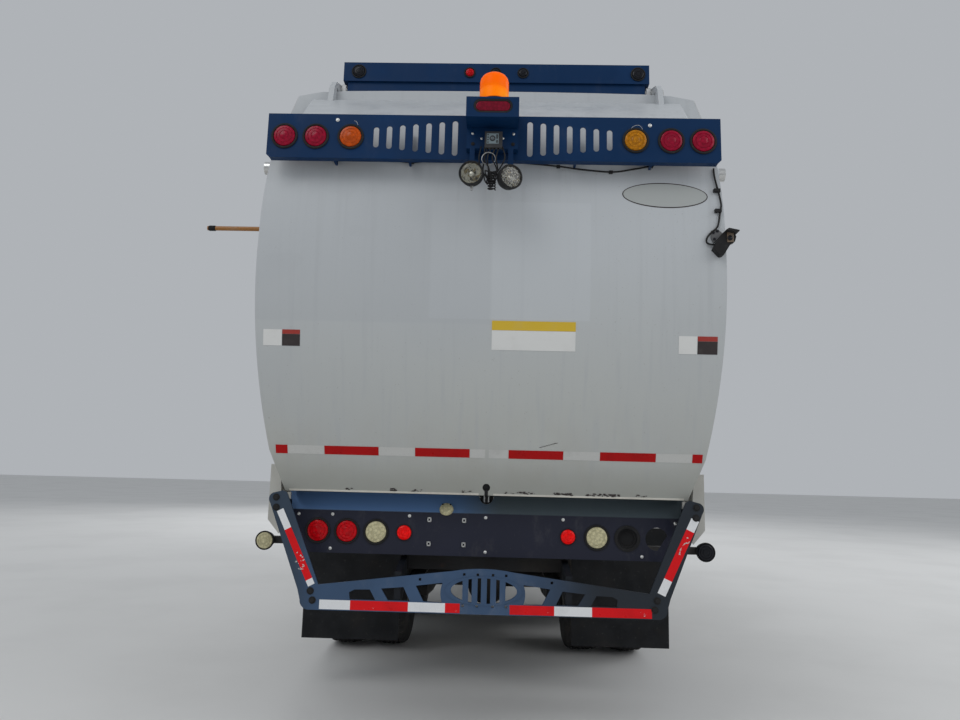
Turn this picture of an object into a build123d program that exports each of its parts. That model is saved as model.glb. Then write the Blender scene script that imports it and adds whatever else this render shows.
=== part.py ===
from build123d import *
import math
import os

# Automated side loading garbage truck with a right-hand driving place.
# Millimetres. +Y is forward, +X is the truck's right, +Z is up, ground at Z = 0.

# Driving dimensions: stance and wheels
FRONT_AXLE_Y = 3550.0
REAR_AXLE_Y = -2100.0
TANDEM_SPACING = 1350.0
TYRE_R = 525.0
TYRE_W = 279.0
RIM_R = 286.0
DUAL_SPACING = 343.0
DUAL_CENTRE_X = 909.0
STEER_CENTRE_X = 1045.0
KINGPIN_X = 900.0
KINGPIN_R = 22.0
SPINDLE_R = 45.0
HOUSING_R = 75.0

# Driving dimensions: chassis frame
RAIL_OUTER_X = 432.0
RAIL_FLANGE = 89.0
RAIL_T = 10.0
RAIL_H = 270.0
RAIL_TOP = 1030.0
RAIL_REAR_Y = -4240.0
RAIL_FRONT_Y = 4600.0

# Driving dimensions: load body, hopper and tailgate
BODY_REAR_Y = -4100.0
BODY_FRONT_Y = 1450.0
HOPPER_FRONT_Y = 2550.0
BODY_FLOOR_Z = 1235.0
BODY_ROOF_Z = 3570.0
BODY_BASE_X = 1010.0
BODY_SILL_X = 1125.0
BODY_MID_X = 1190.0
BODY_EAVE_X = 1203.0
BODY_EAVE_Z = 3440.0
BODY_CORNER_X = 1168.0
BODY_FLAT_X = 900.0
BODY_SHELL_T = 8.0
BODY_HOOP_T = 14.0
TAILGATE_HALF_W = 1143.0
TAILGATE_REAR_Y = -4705.0
TAILGATE_LIP_Y = -4440.0
TAILGATE_BULGE_Z = 2500.0
TAILGATE_TOP_Z = 3505.0
TAILGATE_TOP_HALF_W = 1085.0
TAILGATE_SHELL_T = 8.0
HINGE_Y = -4010.0
HINGE_Z = 3635.0
HINGE_PIN_R = 20.0
HINGE_EAR_R = 36.0

# Driving dimensions: cab
CAB_HALF_W = 1150.0
CAB_FRONT_Y = 4900.0
CAB_REAR_Y = 3150.0
CAB_TOP_Z = 2740.0
CAB_DECK_Z = 1200.0
CAB_STEP_Z = 600.0
CAB_WALL_T = 50.0
TUNNEL_HALF_W = 470.0
TILT_Y = 4800.0
TILT_Z = 700.0
BUMPER_FRONT_Y = 4950.0

# Driving dimensions: loading arm
ARM_Y = 2840.0
BEAM_Z = 1190.0
GUIDE_W = 340.0
GUIDE_H = 240.0
BEAM_WALL_T = 8.0
MAST_X = 960.0
LIFT_PIVOT_Z = 1950.0
LIFT_LENGTH = 1090.0
GRIP_Y = 2150.0

# Clearances
RUN_GAP = 0.3
PANEL_GAP = 10.0
SLIDE_GAP = 5.5


def block(x0, x1, y0, y1, z0, z1):
    """A box between two corners."""
    size = Box(x1 - x0, y1 - y0, z1 - z0)
    return Pos((x0 + x1) / 2, (y0 + y1) / 2, (z0 + z1) / 2) * size


def rod(start, end, radius):
    """A round bar between two points."""
    a = Vector(*start)
    b = Vector(*end)
    axis = b - a
    return Plane(origin=a, z_dir=axis.normalized()) * Cylinder(
        radius, axis.length, align=(Align.CENTER, Align.CENTER, Align.MIN))


def loop(place, start, *steps):
    """A face from lines and arcs. A step is a point, or a pair of points for an arc."""
    edges = []
    here = start
    for step in steps:
        if isinstance(step[0], tuple):
            edges.append(ThreePointArc(place(here), place(step[0]), place(step[1])))
            here = step[1]
        else:
            edges.append(Line(place(here), place(step)))
            here = step
    if here != start:
        edges.append(Line(place(here), place(start)))
    return make_face(Wire(edges))


def across(x0, x1, start, *steps):
    """A side view outline of (y, z) points, extruded across the truck."""
    face = loop(lambda p: (x0, p[0], p[1]), start, *steps)
    return extrude(face, amount=x1 - x0, dir=(1, 0, 0))


def along(y0, y1, start, *steps):
    """A rear view outline of (x, z) points, extruded along the truck."""
    face = loop(lambda p: (p[0], y0, p[1]), start, *steps)
    return extrude(face, amount=y1 - y0, dir=(0, 1, 0))


def upward(z0, z1, start, *steps):
    """A plan view outline of (x, y) points, extruded upward."""
    face = loop(lambda p: (p[0], p[1], z0), start, *steps)
    return extrude(face, amount=z1 - z0, dir=(0, 0, 1))


def turned(x_centre, y, z, start, *steps):
    """An outline of (x, radius) points turned about an axle along X."""
    face = loop(lambda p: (x_centre + p[0], y, z + p[1]), start, *steps)
    return revolve(face, Axis((x_centre, y, z), (1, 0, 0)), 360)


def both_sides(shape):
    """The shape and its mirror image on the other side of the truck."""
    return [shape, mirror(shape, Plane.YZ)]


def joined(shapes):
    """All shapes fused into one."""
    solids = []
    for shape in shapes:
        solids.extend(shape.solids())
    return solids[0].fuse(*solids[1:]) if len(solids) > 1 else solids[0]


NODES = {}


def node(name, *shapes):
    """Keep the solids of one named piece."""
    solids = []
    for shape in shapes:
        solids.extend(shape.solids())
    NODES[name] = solids


# Chassis frame: two channel rails, crossmembers, body sills and the cab's supports
RAIL_BOTTOM = RAIL_TOP - RAIL_H
SILL_H = BODY_FLOOR_Z - 75.0 - RAIL_TOP
SILL_TOP = RAIL_TOP + SILL_H
SILL_FRONT_Y = HOPPER_FRONT_Y
CROSSMEMBER_YS = (-4150.0, -3300.0, REAR_AXLE_Y + TANDEM_SPACING / 2, 60.0, 1000.0, 2300.0, 4520.0)


def make_frame():
    web_in = RAIL_OUTER_X - RAIL_T
    flange_in = RAIL_OUTER_X - RAIL_FLANGE
    rail = along(RAIL_REAR_Y, RAIL_FRONT_Y, (flange_in, RAIL_BOTTOM), (RAIL_OUTER_X, RAIL_BOTTOM),
                 (RAIL_OUTER_X, RAIL_TOP), (flange_in, RAIL_TOP), (flange_in, RAIL_TOP - RAIL_T),
                 (web_in, RAIL_TOP - RAIL_T), (web_in, RAIL_BOTTOM + RAIL_T),
                 (flange_in, RAIL_BOTTOM + RAIL_T))
    sill = block(flange_in, RAIL_OUTER_X, BODY_REAR_Y, SILL_FRONT_Y, RAIL_TOP, SILL_TOP)
    horn = across(RAIL_OUTER_X - 32, RAIL_OUTER_X, (RAIL_FRONT_Y - 260, RAIL_BOTTOM),
                  (RAIL_FRONT_Y - 20, 470),
                  (BUMPER_FRONT_Y - 90, 470), (BUMPER_FRONT_Y - 90, TILT_Z - 60), (TILT_Y + 45, TILT_Z),
                  ((TILT_Y, TILT_Z + 45), (TILT_Y - 45, TILT_Z + 25)), (RAIL_FRONT_Y, RAIL_TOP),
                  (RAIL_FRONT_Y - 260, RAIL_TOP))
    tilt_pin = rod((RAIL_OUTER_X - 32, TILT_Y, TILT_Z), (TUNNEL_HALF_W + 45, TILT_Y, TILT_Z), 20.0)
    rest = block(flange_in, RAIL_OUTER_X, CAB_REAR_Y + 20, CAB_REAR_Y + 140, RAIL_TOP, CAB_DECK_Z - RUN_GAP)
    pieces = []
    for shape in (rail, sill, horn, tilt_pin, rest):
        pieces.extend(both_sides(shape))
    for y in CROSSMEMBER_YS:
        pieces.append(block(-web_in, web_in, y - 45, y + 45, RAIL_TOP - 190, RAIL_TOP - 50))
    return joined(pieces)


# Axles and suspension
AXLE_YS = (REAR_AXLE_Y, REAR_AXLE_Y + TANDEM_SPACING)
BEAM_X0 = 470.0
BEAM_X1 = 555.0
BEAM_TOP = TYRE_R - HOUSING_R
SPINDLE_END_X = DUAL_CENTRE_X + 120.0
HUB_INNER_X = DUAL_CENTRE_X - 200.0
FRONT_BEAM_TOP = TYRE_R - 20.0
SPRING_X = 388.0
SPRING_HALF_W = 40.0


def make_rear_axle(y):
    housing = rod((-HUB_INNER_X + 15, y, TYRE_R), (HUB_INNER_X - 15, y, TYRE_R), HOUSING_R)
    spindle = rod((-SPINDLE_END_X, y, TYRE_R), (SPINDLE_END_X, y, TYRE_R), SPINDLE_R)
    gears = turned(0, y, TYRE_R, (-150, 0), (-150, 90), ((0, 215), (150, 90)), (150, 0))
    pieces = [housing, spindle, gears]
    pieces += both_sides(block(BEAM_X0, BEAM_X1, y - 70, y + 70, BEAM_TOP, TYRE_R))
    return joined(pieces)


def make_front_axle():
    beam = block(-760, 760, FRONT_AXLE_Y - 50, FRONT_AXLE_Y + 50, FRONT_BEAM_TOP - 110, FRONT_BEAM_TOP)
    pieces = [beam]
    eye = rod((KINGPIN_X, FRONT_AXLE_Y, TYRE_R - 70), (KINGPIN_X, FRONT_AXLE_Y, TYRE_R + 60), 45.0)
    arm = block(700, KINGPIN_X, FRONT_AXLE_Y - 35, FRONT_AXLE_Y + 35, FRONT_BEAM_TOP - 50,
                FRONT_BEAM_TOP + 40)
    bore = rod((KINGPIN_X, FRONT_AXLE_Y, 0), (KINGPIN_X, FRONT_AXLE_Y, 2 * TYRE_R), KINGPIN_R + RUN_GAP)
    return joined(pieces + both_sides(eye) + both_sides(arm)) - both_sides(bore)[0] - both_sides(bore)[1]


def make_suspension():
    shapes = []
    mid_y = REAR_AXLE_Y + TANDEM_SPACING / 2
    end = TANDEM_SPACING / 2 + 110
    walking = across(BEAM_X0, BEAM_X1, (mid_y - end, BEAM_TOP), (mid_y - end, BEAM_TOP - 70),
                     (mid_y - 180, BEAM_TOP - 120), (mid_y + 180, BEAM_TOP - 120),
                     (mid_y + end, BEAM_TOP - 70), (mid_y + end, BEAM_TOP))
    saddle = across(RAIL_OUTER_X - 60, BEAM_X1, (mid_y - 260, RAIL_BOTTOM), (mid_y - 110, BEAM_TOP),
                    (mid_y + 110, BEAM_TOP), (mid_y + 260, RAIL_BOTTOM))
    shapes += both_sides(joined([walking, saddle]))
    x0 = SPRING_X - SPRING_HALF_W
    x1 = SPRING_X + SPRING_HALF_W
    y = FRONT_AXLE_Y
    for leaf, reach in enumerate((690, 560, 430)):
        low = FRONT_BEAM_TOP + 36 - 12 * leaf
        rise = 150 * (reach / 690) ** 2
        shapes += both_sides(across(x0, x1, (y - reach, low + rise), ((y, low), (y + reach, low + rise)),
                                    (y + reach, low + rise + 12),
                                    ((y, low + 12), (y - reach, low + rise + 12))))
    for side in (-1, 1):
        hang = y + side * 675
        shapes += both_sides(block(x0, x1, hang - 15, hang + 15, FRONT_BEAM_TOP + 190, RAIL_BOTTOM))
    pad = block(x0, x1, y - 50, y + 50, FRONT_BEAM_TOP, FRONT_BEAM_TOP + 40)
    shapes += both_sides(pad)
    return joined(shapes)


def tyre(x_centre, y):
    """A road tyre with rounded shoulders."""
    half = TYRE_W / 2
    bead = RIM_R + RUN_GAP
    return turned(x_centre, y, TYRE_R, (-half + 25, bead), (-half, bead + 95), ((-half + 4, TYRE_R - 60),
                  (-half + 38, TYRE_R - 10)), ((0, TYRE_R), (half - 38, TYRE_R - 10)),
                  ((half - 4, TYRE_R - 60), (half, bead + 95)), (half - 25, bead))


RIM_T = 14.0
RIM_HALF_W = 115.0


def rim_ring(x_centre, y):
    """The barrel of a wheel with its two bead flanges."""
    w = RIM_HALF_W
    return turned(x_centre, y, TYRE_R, (-w, RIM_R - RIM_T), (-w, RIM_R), (w, RIM_R), (w, RIM_R - RIM_T))


def wheel_disc(x0, x1, y):
    """The dished disc between a hub and a rim, with hand holes."""
    disc = turned(0, y, TYRE_R, (x0, 60), (x0, RIM_R - RIM_T / 2), (x1, RIM_R - RIM_T / 2), (x1, 60))
    for k in range(10):
        turn = math.radians(36 * k)
        hy = y + 205 * math.cos(turn)
        hz = TYRE_R + 205 * math.sin(turn)
        disc -= rod((x0 - 5, hy, hz), (x1 + 5, hy, hz), 26)
    return disc


def make_dual(side, y):
    """Twin tyres, and the twin wheel on its hub, on one side of a rear axle."""
    inner = DUAL_CENTRE_X - DUAL_SPACING / 2
    outer = DUAL_CENTRE_X + DUAL_SPACING / 2
    tyres = [tyre(inner, y), tyre(outer, y)]
    bore = SPINDLE_R + RUN_GAP
    hub = turned(0, y, TYRE_R, (HUB_INNER_X, bore), (HUB_INNER_X, 200), (HUB_INNER_X + 140, 200),
                 (DUAL_CENTRE_X - 14, 120), (DUAL_CENTRE_X + 14, 120), (SPINDLE_END_X + 6, 95),
                 (SPINDLE_END_X + 20, 0), (SPINDLE_END_X + 2, 0), (SPINDLE_END_X + 2, bore))
    w = RIM_HALF_W
    link = turned(0, y, TYRE_R, (inner + w, RIM_R - 2 * RIM_T), (inner + w, RIM_R - RIM_T + 1),
                  (outer - w, RIM_R - RIM_T + 1), (outer - w, RIM_R - 2 * RIM_T))
    disc = wheel_disc(DUAL_CENTRE_X - 12, DUAL_CENTRE_X + 12, y)
    wheel = joined([rim_ring(inner, y), rim_ring(outer, y), link, disc, hub])
    if side < 0:
        return [mirror(t, Plane.YZ) for t in tyres], mirror(wheel, Plane.YZ)
    return tyres, wheel


STEER_SPINDLE_END = STEER_CENTRE_X + 95.0


def make_steer_wheel(side):
    """A steered tyre and its wheel and hub."""
    y = FRONT_AXLE_Y
    bore = SPINDLE_R + RUN_GAP
    hub = turned(0, y, TYRE_R, (STEER_CENTRE_X - 20, bore), (STEER_CENTRE_X - 20, 130),
                 (STEER_CENTRE_X + 84, 150), (STEER_SPINDLE_END + 6, 90), (STEER_SPINDLE_END + 20, 0),
                 (STEER_SPINDLE_END + 2, 0), (STEER_SPINDLE_END + 2, bore))
    disc = wheel_disc(STEER_CENTRE_X + 60, STEER_CENTRE_X + 84, y)
    wheel = joined([rim_ring(STEER_CENTRE_X, y), disc, hub])
    rubber = tyre(STEER_CENTRE_X, y)
    if side < 0:
        return mirror(rubber, Plane.YZ), mirror(wheel, Plane.YZ)
    return rubber, wheel


def make_knuckle(side):
    """Steering knuckle: spindle, fork ears and kingpin."""
    y = FRONT_AXLE_Y
    k = KINGPIN_X
    pin = rod((k, y, TYRE_R - 125), (k, y, TYRE_R + 115), KINGPIN_R)
    lower = rod((k, y, TYRE_R - 110), (k, y, TYRE_R - 70 - 1), 45.0)
    upper = rod((k, y, TYRE_R + 60 + 1), (k, y, TYRE_R + 100), 45.0)
    back = block(k + 52, k + 82, y - 60, y + 60, TYRE_R - 110, TYRE_R + 100)
    ears = [block(k, k + 60, y - 40, y + 40, TYRE_R - 110, TYRE_R - 71),
            block(k, k + 60, y - 40, y + 40, TYRE_R + 61, TYRE_R + 100)]
    spindle = rod((k + 60, y, TYRE_R), (STEER_SPINDLE_END, y, TYRE_R), SPINDLE_R)
    arm = block(k + 20, k + 50, y - 230, y - 30, TYRE_R - 108, TYRE_R - 80)
    piece = joined([pin, lower, upper, back, spindle, arm] + ears)
    return piece if side > 0 else mirror(piece, Plane.YZ)


# Load body: a barrel section shell with bowed walls
def body_outline(inset, y0, y1):
    """The barrel section, inset from its outer skin."""
    t = inset
    base = BODY_FLOOR_Z - 35 + t
    mid = BODY_MID_X - t
    eave = BODY_EAVE_X - t
    corner = BODY_CORNER_X - t * 0.7
    corner_z = BODY_ROOF_Z - 36 - t * 0.7
    flat_z = BODY_ROOF_Z - t
    curve = (BODY_CORNER_X + BODY_FLAT_X) / 2 + 6
    return along(y0, y1, (-BODY_BASE_X + t, base), (BODY_BASE_X - t, base), (BODY_SILL_X - t, 1360),
                 ((mid + 2, 2250), (mid, 3100)), (eave, BODY_EAVE_Z), (corner, corner_z),
                 ((curve, flat_z - 14), (BODY_FLAT_X, flat_z)), ((0, flat_z + 8), (-BODY_FLAT_X, flat_z)),
                 ((-curve, flat_z - 14), (-corner, corner_z)), (-eave, BODY_EAVE_Z), (-mid, 3100),
                 ((-mid - 2, 2250), (-BODY_SILL_X + t, 1360)))


def make_load_body():
    shell = body_outline(0, BODY_REAR_Y, BODY_FRONT_Y) - body_outline(BODY_SHELL_T, BODY_REAR_Y - 10,
                                                                      BODY_FRONT_Y + 10)
    pieces = [shell]
    for y in (BODY_REAR_Y, BODY_FRONT_Y - 90):
        pieces.append(body_outline(-BODY_HOOP_T, y, y + 90) - body_outline(1, y - 5, y + 95))
    floor_bearers = [block(-BODY_BASE_X + 60, BODY_BASE_X - 60, y - 30, y + 30, SILL_TOP, BODY_FLOOR_Z - 34)
                     for y in (-3850.0, -2900.0, -1950.0, -1000.0, -50.0, 900.0)]
    pieces += floor_bearers
    return joined(pieces)


WING_Y = -4350.0


def make_rear_wings():
    """White corner plates beside the tailgate's foot, with the skirts that carry them."""
    face = along(WING_Y, WING_Y + 8, (1112, 1365), (1062, 1365), (1052, 1225), (1000, 1225), (1000, 1100),
                 (1052, 1015), (1112, 1085))
    skirt = across(1104, 1112, (WING_Y, 1365), (WING_Y, 1085), (BODY_REAR_Y + 500, 1180),
                   (BODY_REAR_Y + 500, 1320),
                   (BODY_REAR_Y, 1365))
    inner = block(1000, 1104, BODY_REAR_Y + 100, BODY_REAR_Y + 108, 1150, 1290)
    return face, skirt, inner


HOPPER_LEFT_Z = 3150.0
HOPPER_RIGHT_Z = 2330.0


def make_hopper():
    """Open topped hopper with a low right wall for the arm."""
    y0 = BODY_FRONT_Y
    y1 = HOPPER_FRONT_Y
    shell = body_outline(0, y0, y1) - body_outline(BODY_SHELL_T, y0 - 10, y1 - BODY_SHELL_T)
    open_top = along(y0 + 60, y1 + 10, (-1300, HOPPER_LEFT_Z), (600, HOPPER_LEFT_Z), (600, HOPPER_RIGHT_Z),
                     (1400, HOPPER_RIGHT_Z), (1400, 4000), (-1300, 4000))
    inner = along(y0 - 5, y1 - BODY_SHELL_T, (-1020, 3400), (1020, 3400), (1020, 4000), (-1020, 4000))
    bearers = [block(-BODY_BASE_X + 60, BODY_BASE_X - 60, y - 30, y + 30, SILL_TOP, BODY_FLOOR_Z - 34)
               for y in (y0 + 150, y1 - 60)]
    return joined([shell - open_top - inner] + bearers)


PACKER_Y = 2380.0
PACKER_TOP = 2300.0
PACKER_HALF_W = 1085.0


def make_packer():
    """The blade that packs and ejects the load, on two floor shoes."""
    floor = BODY_FLOOR_Z - 35 + BODY_SHELL_T + RUN_GAP
    y = PACKER_Y
    blade = along(y - 40, y, (-PACKER_HALF_W, 1400), (-960, floor + 30), (960, floor + 30),
                  (PACKER_HALF_W, 1400),
                  (PACKER_HALF_W, PACKER_TOP), (-PACKER_HALF_W, PACKER_TOP))
    ribs = [across(x - 6, x + 6, (y, floor + 30), (y, PACKER_TOP), (y + 60, PACKER_TOP),
                   (y + 150, floor + 400),
                   (y + 150, floor + 30)) for x in (-800.0, -300.0, 300.0, 800.0)]
    deck = block(-850, 850, y, y + 150, floor + 40, floor + 52)
    shoes = [block(x - 60, x + 60, y - 40, y + 150, floor, floor + 42) for x in (-800.0, 800.0)]
    return joined([blade, deck] + ribs + shoes)


# Tailgate: a bowed bowl hung from its top edge
def corner_cut(inset, side):
    """What lies outside the flat across one upper corner of the tailgate."""
    out = Vector(side * 0.767, -0.46, 0.447)
    start = Vector(side * 985, -4633, 3160) - out * inset
    return Plane(origin=start, z_dir=out) * Box(3000, 3000, 600,
                                                align=(Align.CENTER, Align.CENTER, Align.MIN))


def tailgate_form(inset):
    """The bowl's outer form, inset from its skin."""
    t = inset
    y_front = BODY_REAR_Y - PANEL_GAP
    y_open = y_front + (10 if t else 0)
    foot = BODY_FLOOR_Z + t
    w = TAILGATE_HALF_W - t
    top = TAILGATE_TOP_Z - t
    top_w = TAILGATE_TOP_HALF_W - t
    side = across(-1300, 1300, (y_open, foot), (TAILGATE_LIP_Y + t, foot),
                  ((TAILGATE_REAR_Y + t + 27, 2080), (TAILGATE_REAR_Y + t, TAILGATE_BULGE_Z)),
                  ((TAILGATE_REAR_Y + t + 16, 2820), (TAILGATE_REAR_Y + t + 72, 3160 - t)),
                  (y_front - 50, top - 10), (y_open, top))
    rear = along(-5000, -4000, (-1005 + t, foot), (1005 - t, foot), (1075 - t, 1434),
                 ((w - 12, 1900), (w, 2480)),
                 ((w - 8, 2700), (w - 25, 2880)), (top_w, top - 60),
                 ((top_w - 12, top - 18), (top_w - 45, top)),
                 (-top_w + 45, top), ((-top_w + 12, top - 18), (-top_w, top - 60)), (-w + 25, 2880),
                 ((-w + 8, 2700), (-w, 2480)), ((-w + 12, 1900), (-1075 + t, 1434)))
    return (side & rear) - corner_cut(t, 1) - corner_cut(t, -1)


HINGE_XS = (-960.0, 960.0)
KEYHOLE = (5.0, 1274.0)
KEYHOLE_R = 19.0


def make_tailgate():
    shell = tailgate_form(0) - tailgate_form(TAILGATE_SHELL_T)
    x, z = KEYHOLE
    shell -= rod((x, TAILGATE_LIP_Y - 100, z), (x, TAILGATE_LIP_Y + 60, z), KEYHOLE_R)
    shell -= block(x - 8, x + 8, TAILGATE_LIP_Y - 100, TAILGATE_LIP_Y + 60, BODY_FLOOR_Z - 5, z)
    pieces = [shell]
    low = HINGE_Z - HINGE_EAR_R
    for x in HINGE_XS:
        ear = across(x - 15, x + 15, (BODY_REAR_Y - 14, low), (BODY_REAR_Y - 14, TAILGATE_TOP_Z - 20),
                     (BODY_REAR_Y - 110, TAILGATE_TOP_Z - 65), (BODY_REAR_Y - 70, TAILGATE_TOP_Z + 70),
                     (BODY_REAR_Y - 20, HINGE_Z - 5), (HINGE_Y, HINGE_Z + HINGE_EAR_R),
                     ((HINGE_Y + HINGE_EAR_R, HINGE_Z), (HINGE_Y, low)))
        bore = rod((x - 20, HINGE_Y, HINGE_Z), (x + 20, HINGE_Y, HINGE_Z), HINGE_PIN_R + RUN_GAP)
        pieces.append(ear - bore)
    return joined(pieces)


def make_hinge_brackets():
    """Ears and pins on the body's roof that carry the tailgate, with a gusset beside the roof bar."""
    shapes = []
    foot = BODY_ROOF_Z - 16
    for x in HINGE_XS:
        ears = []
        for dx in (-40.0, 40.0):
            ears.append(across(x + dx - 10, x + dx + 10, (HINGE_Y - 34, HINGE_Z), ((HINGE_Y, HINGE_Z + 34),
                        (HINGE_Y + 34, HINGE_Z)), (HINGE_Y + 90, foot), (HINGE_Y - 34, foot)))
        pin = rod((x - 55, HINGE_Y, HINGE_Z), (x + 55, HINGE_Y, HINGE_Z), HINGE_PIN_R)
        s = 1 if x > 0 else -1
        end = ROOF_BAR_HALF_W + 1
        gusset = along(HINGE_Y + 45, HINGE_Y + 53, (s * (end - 36), foot), (s * (end - 36), ROOF_BAR_Z - 1),
                       (s * end, ROOF_BAR_Z - 1), (s * end, ROOF_BAR_Z + 22),
                       (s * (end + 22), ROOF_BAR_Z + 22),
                       (s * (end + 104), BODY_ROOF_Z + 34), (s * (end + 104), foot))
        shapes.append(joined(ears + [pin, gusset]))
    return shapes


# Rear end: lamp panel, guard and roof bar
LAMP_R = 54.0
GROMMET_R = 65.0
LAMP_DEPTH = 30.0
PANEL_Y = -4330.0
PANEL_T = 6.0
PANEL_TOP_Z = 1140.0
PANEL_BOTTOM_Z = 925.0
PANEL_TOP_HALF_W = 995.0
PANEL_BOTTOM_HALF_W = 850.0
PANEL_LAMP_Z = 1035.0
PANEL_LAMP_XS = (-855.0, -706.0, -556.0, 570.0, 724.0)
MARKER_R = 38.0
PANEL_MARKER_XS = (-411.0, 424.0)
PANEL_OPEN_HOLE_X = 873.0
PLATE_CENTRE = (-195.0, 1043.0)
PLATE_BOLT_DX = 177.8
PLATE_BOLT_DZ = 120.65
PLATE_BOLT_R = 3.6
LOCK_CUP_R = 37.0
GUARD_Y = -4485.0
GUARD_T = 12.0
GUARD_BOTTOM_Z = 672.0
SQUARE_HOLE = 12.0
SQUARE_HOLES = ((-306.0, 828.0), (-92.0, 857.0), (-26.0, 857.0), (48.0, 857.0), (112.0, 856.0),
                (333.0, 829.0),
                (-96.0, 711.0), (-28.0, 711.0), (48.0, 711.0), (113.0, 711.0))
ROOF_BAR_HALF_W = 925.0
ROOF_BAR_Y = -4050.0
ROOF_BAR_DEPTH = 140.0
ROOF_BAR_Z = 3680.0
ROOF_BAR_H = 121.0


def lamp(x, y_face, z, lens_r=LAMP_R, rim_r=GROMMET_R, depth=LAMP_DEPTH):
    """A round lamp facing the rear: a domed lens in a rubber ring."""
    face = loop(lambda p: (x + p[0], y_face - p[1], z), (0, -depth), (rim_r - 8, -depth), (rim_r - 8, 0),
                (rim_r, 0), (rim_r, 5), (lens_r, 7), ((lens_r * 0.6, 13), (8, 15)), (0, 15))
    return revolve(face, Axis((x, y_face, z), (0, 1, 0)), 360)


def hole(x, y_face, z, radius):
    """A drill along the truck through a face."""
    return rod((x, y_face - 60, z), (x, y_face + 60, z), radius)


def make_light_panel():
    y = PANEL_Y
    face = along(y, y + PANEL_T, (-PANEL_TOP_HALF_W, PANEL_TOP_Z), (-PANEL_BOTTOM_HALF_W, PANEL_BOTTOM_Z),
                 (PANEL_BOTTOM_HALF_W, PANEL_BOTTOM_Z), (PANEL_TOP_HALF_W, PANEL_TOP_Z))
    slope = across(-PANEL_TOP_HALF_W, PANEL_TOP_HALF_W, (y, PANEL_TOP_Z - 1),
                   (y + PANEL_T, PANEL_TOP_Z - 1),
                   (y + 85, BODY_FLOOR_Z - 10), (y + 79, BODY_FLOOR_Z - 7))
    returns = block(-PANEL_BOTTOM_HALF_W, PANEL_BOTTOM_HALF_W, y, RAIL_REAR_Y, PANEL_BOTTOM_Z,
                    PANEL_BOTTOM_Z + PANEL_T)
    top = block(-PANEL_TOP_HALF_W, PANEL_TOP_HALF_W, y + 80, BODY_REAR_Y, BODY_FLOOR_Z - 12,
                BODY_FLOOR_Z - 7)
    panel = joined([face, slope, returns, top])
    for x in PANEL_LAMP_XS:
        panel -= hole(x, y, PANEL_LAMP_Z, GROMMET_R - 8 + RUN_GAP)
    for x in PANEL_MARKER_XS:
        panel -= hole(x, y, PANEL_LAMP_Z, MARKER_R - 6 + RUN_GAP)
    panel -= hole(PANEL_OPEN_HOLE_X, y, PANEL_LAMP_Z, GROMMET_R - 8)
    for dx in (-0.5, 0.5):
        for dz in (-0.5, 0.5):
            panel -= hole(PLATE_CENTRE[0] + dx * PLATE_BOLT_DX, y, PLATE_CENTRE[1] + dz * PLATE_BOLT_DZ,
                          PLATE_BOLT_R)
    cup = BODY_FLOOR_Z - 13
    panel -= rod((KEYHOLE[0], y - 5, cup), (KEYHOLE[0], y + 130, cup), LOCK_CUP_R)
    return panel


def make_guard():
    """Underride guard: two leaning arms and a crowned crossbar with cut-outs."""
    y = GUARD_Y
    bottom = GUARD_BOTTOM_Z
    plate = along(y, y + GUARD_T, (-850, bottom), (850, bottom), ((874, bottom + 12), (888, bottom + 45)),
                  (902, 768), (1064, 1176), ((1068, 1208), (1044, 1226)), (1005, 1236), (984, 1228),
                  (802, 790), (150, 871), ((0, 885), (-150, 871)), (-802, 790), (-984, 1228),
                  (-1005, 1236), (-1044, 1226), ((-1068, 1208), (-1064, 1176)), (-902, 768),
                  (-888, bottom + 45), ((-874, bottom + 12), (-850, bottom)))
    for s in (-1, 1):
        plate -= along(y - 5, y + 20, (s * 645, 724), (s * 650, 758), (s * 623, 772), (s * 548, 774),
                       (s * 519, 724))
        plate -= along(y - 5, y + 20, (s * 494, 780), (s * 385, 790), (s * 352, 725), (s * 459, 725))
        plate -= along(y - 5, y + 20, (s * 326, 798), (s * 196, 815), ((s * 205, 770), (s * 196, 722)),
                       (s * 287, 725))
    half = SQUARE_HOLE / 2
    for x, z in SQUARE_HOLES:
        plate -= block(x - half, x + half, y - 5, y + 20, z - half, z + half)
    centre = (5.0, 782.0)
    oval = Pos(centre[0], y + GUARD_T / 2, centre[1]) * extrude(Plane.XZ * Ellipse(160, 60), amount=30,
                                                                both=True)
    plate -= oval
    ring = Pos(centre[0], y, centre[1]) * extrude(Plane.XZ * (Ellipse(188, 68) - Ellipse(160, 60)),
                                                  amount=3)
    bars = [block(centre[0] + dx - 14, centre[0] + dx + 14, y - 2, y + 8, centre[1] - 61, centre[1] + 61)
            for dx in (-90.0, -45.0, 0.0, 45.0, 90.0)]
    pieces = [plate, ring] + bars
    for s in (-1, 1):
        x0 = s * (RAIL_OUTER_X - 16) - 16
        strut = across(x0, x0 + 32, (y + GUARD_T, 700), (RAIL_REAR_Y, RAIL_BOTTOM + 10),
                       (RAIL_REAR_Y, RAIL_TOP - 120),
                       (y + GUARD_T, 860))
        pieces.append(strut)
        ax = s * 1012
        pieces.append(block(ax - 20, ax + 20, y + GUARD_T, WING_Y, 1110, 1190))
    return joined(pieces)


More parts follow.
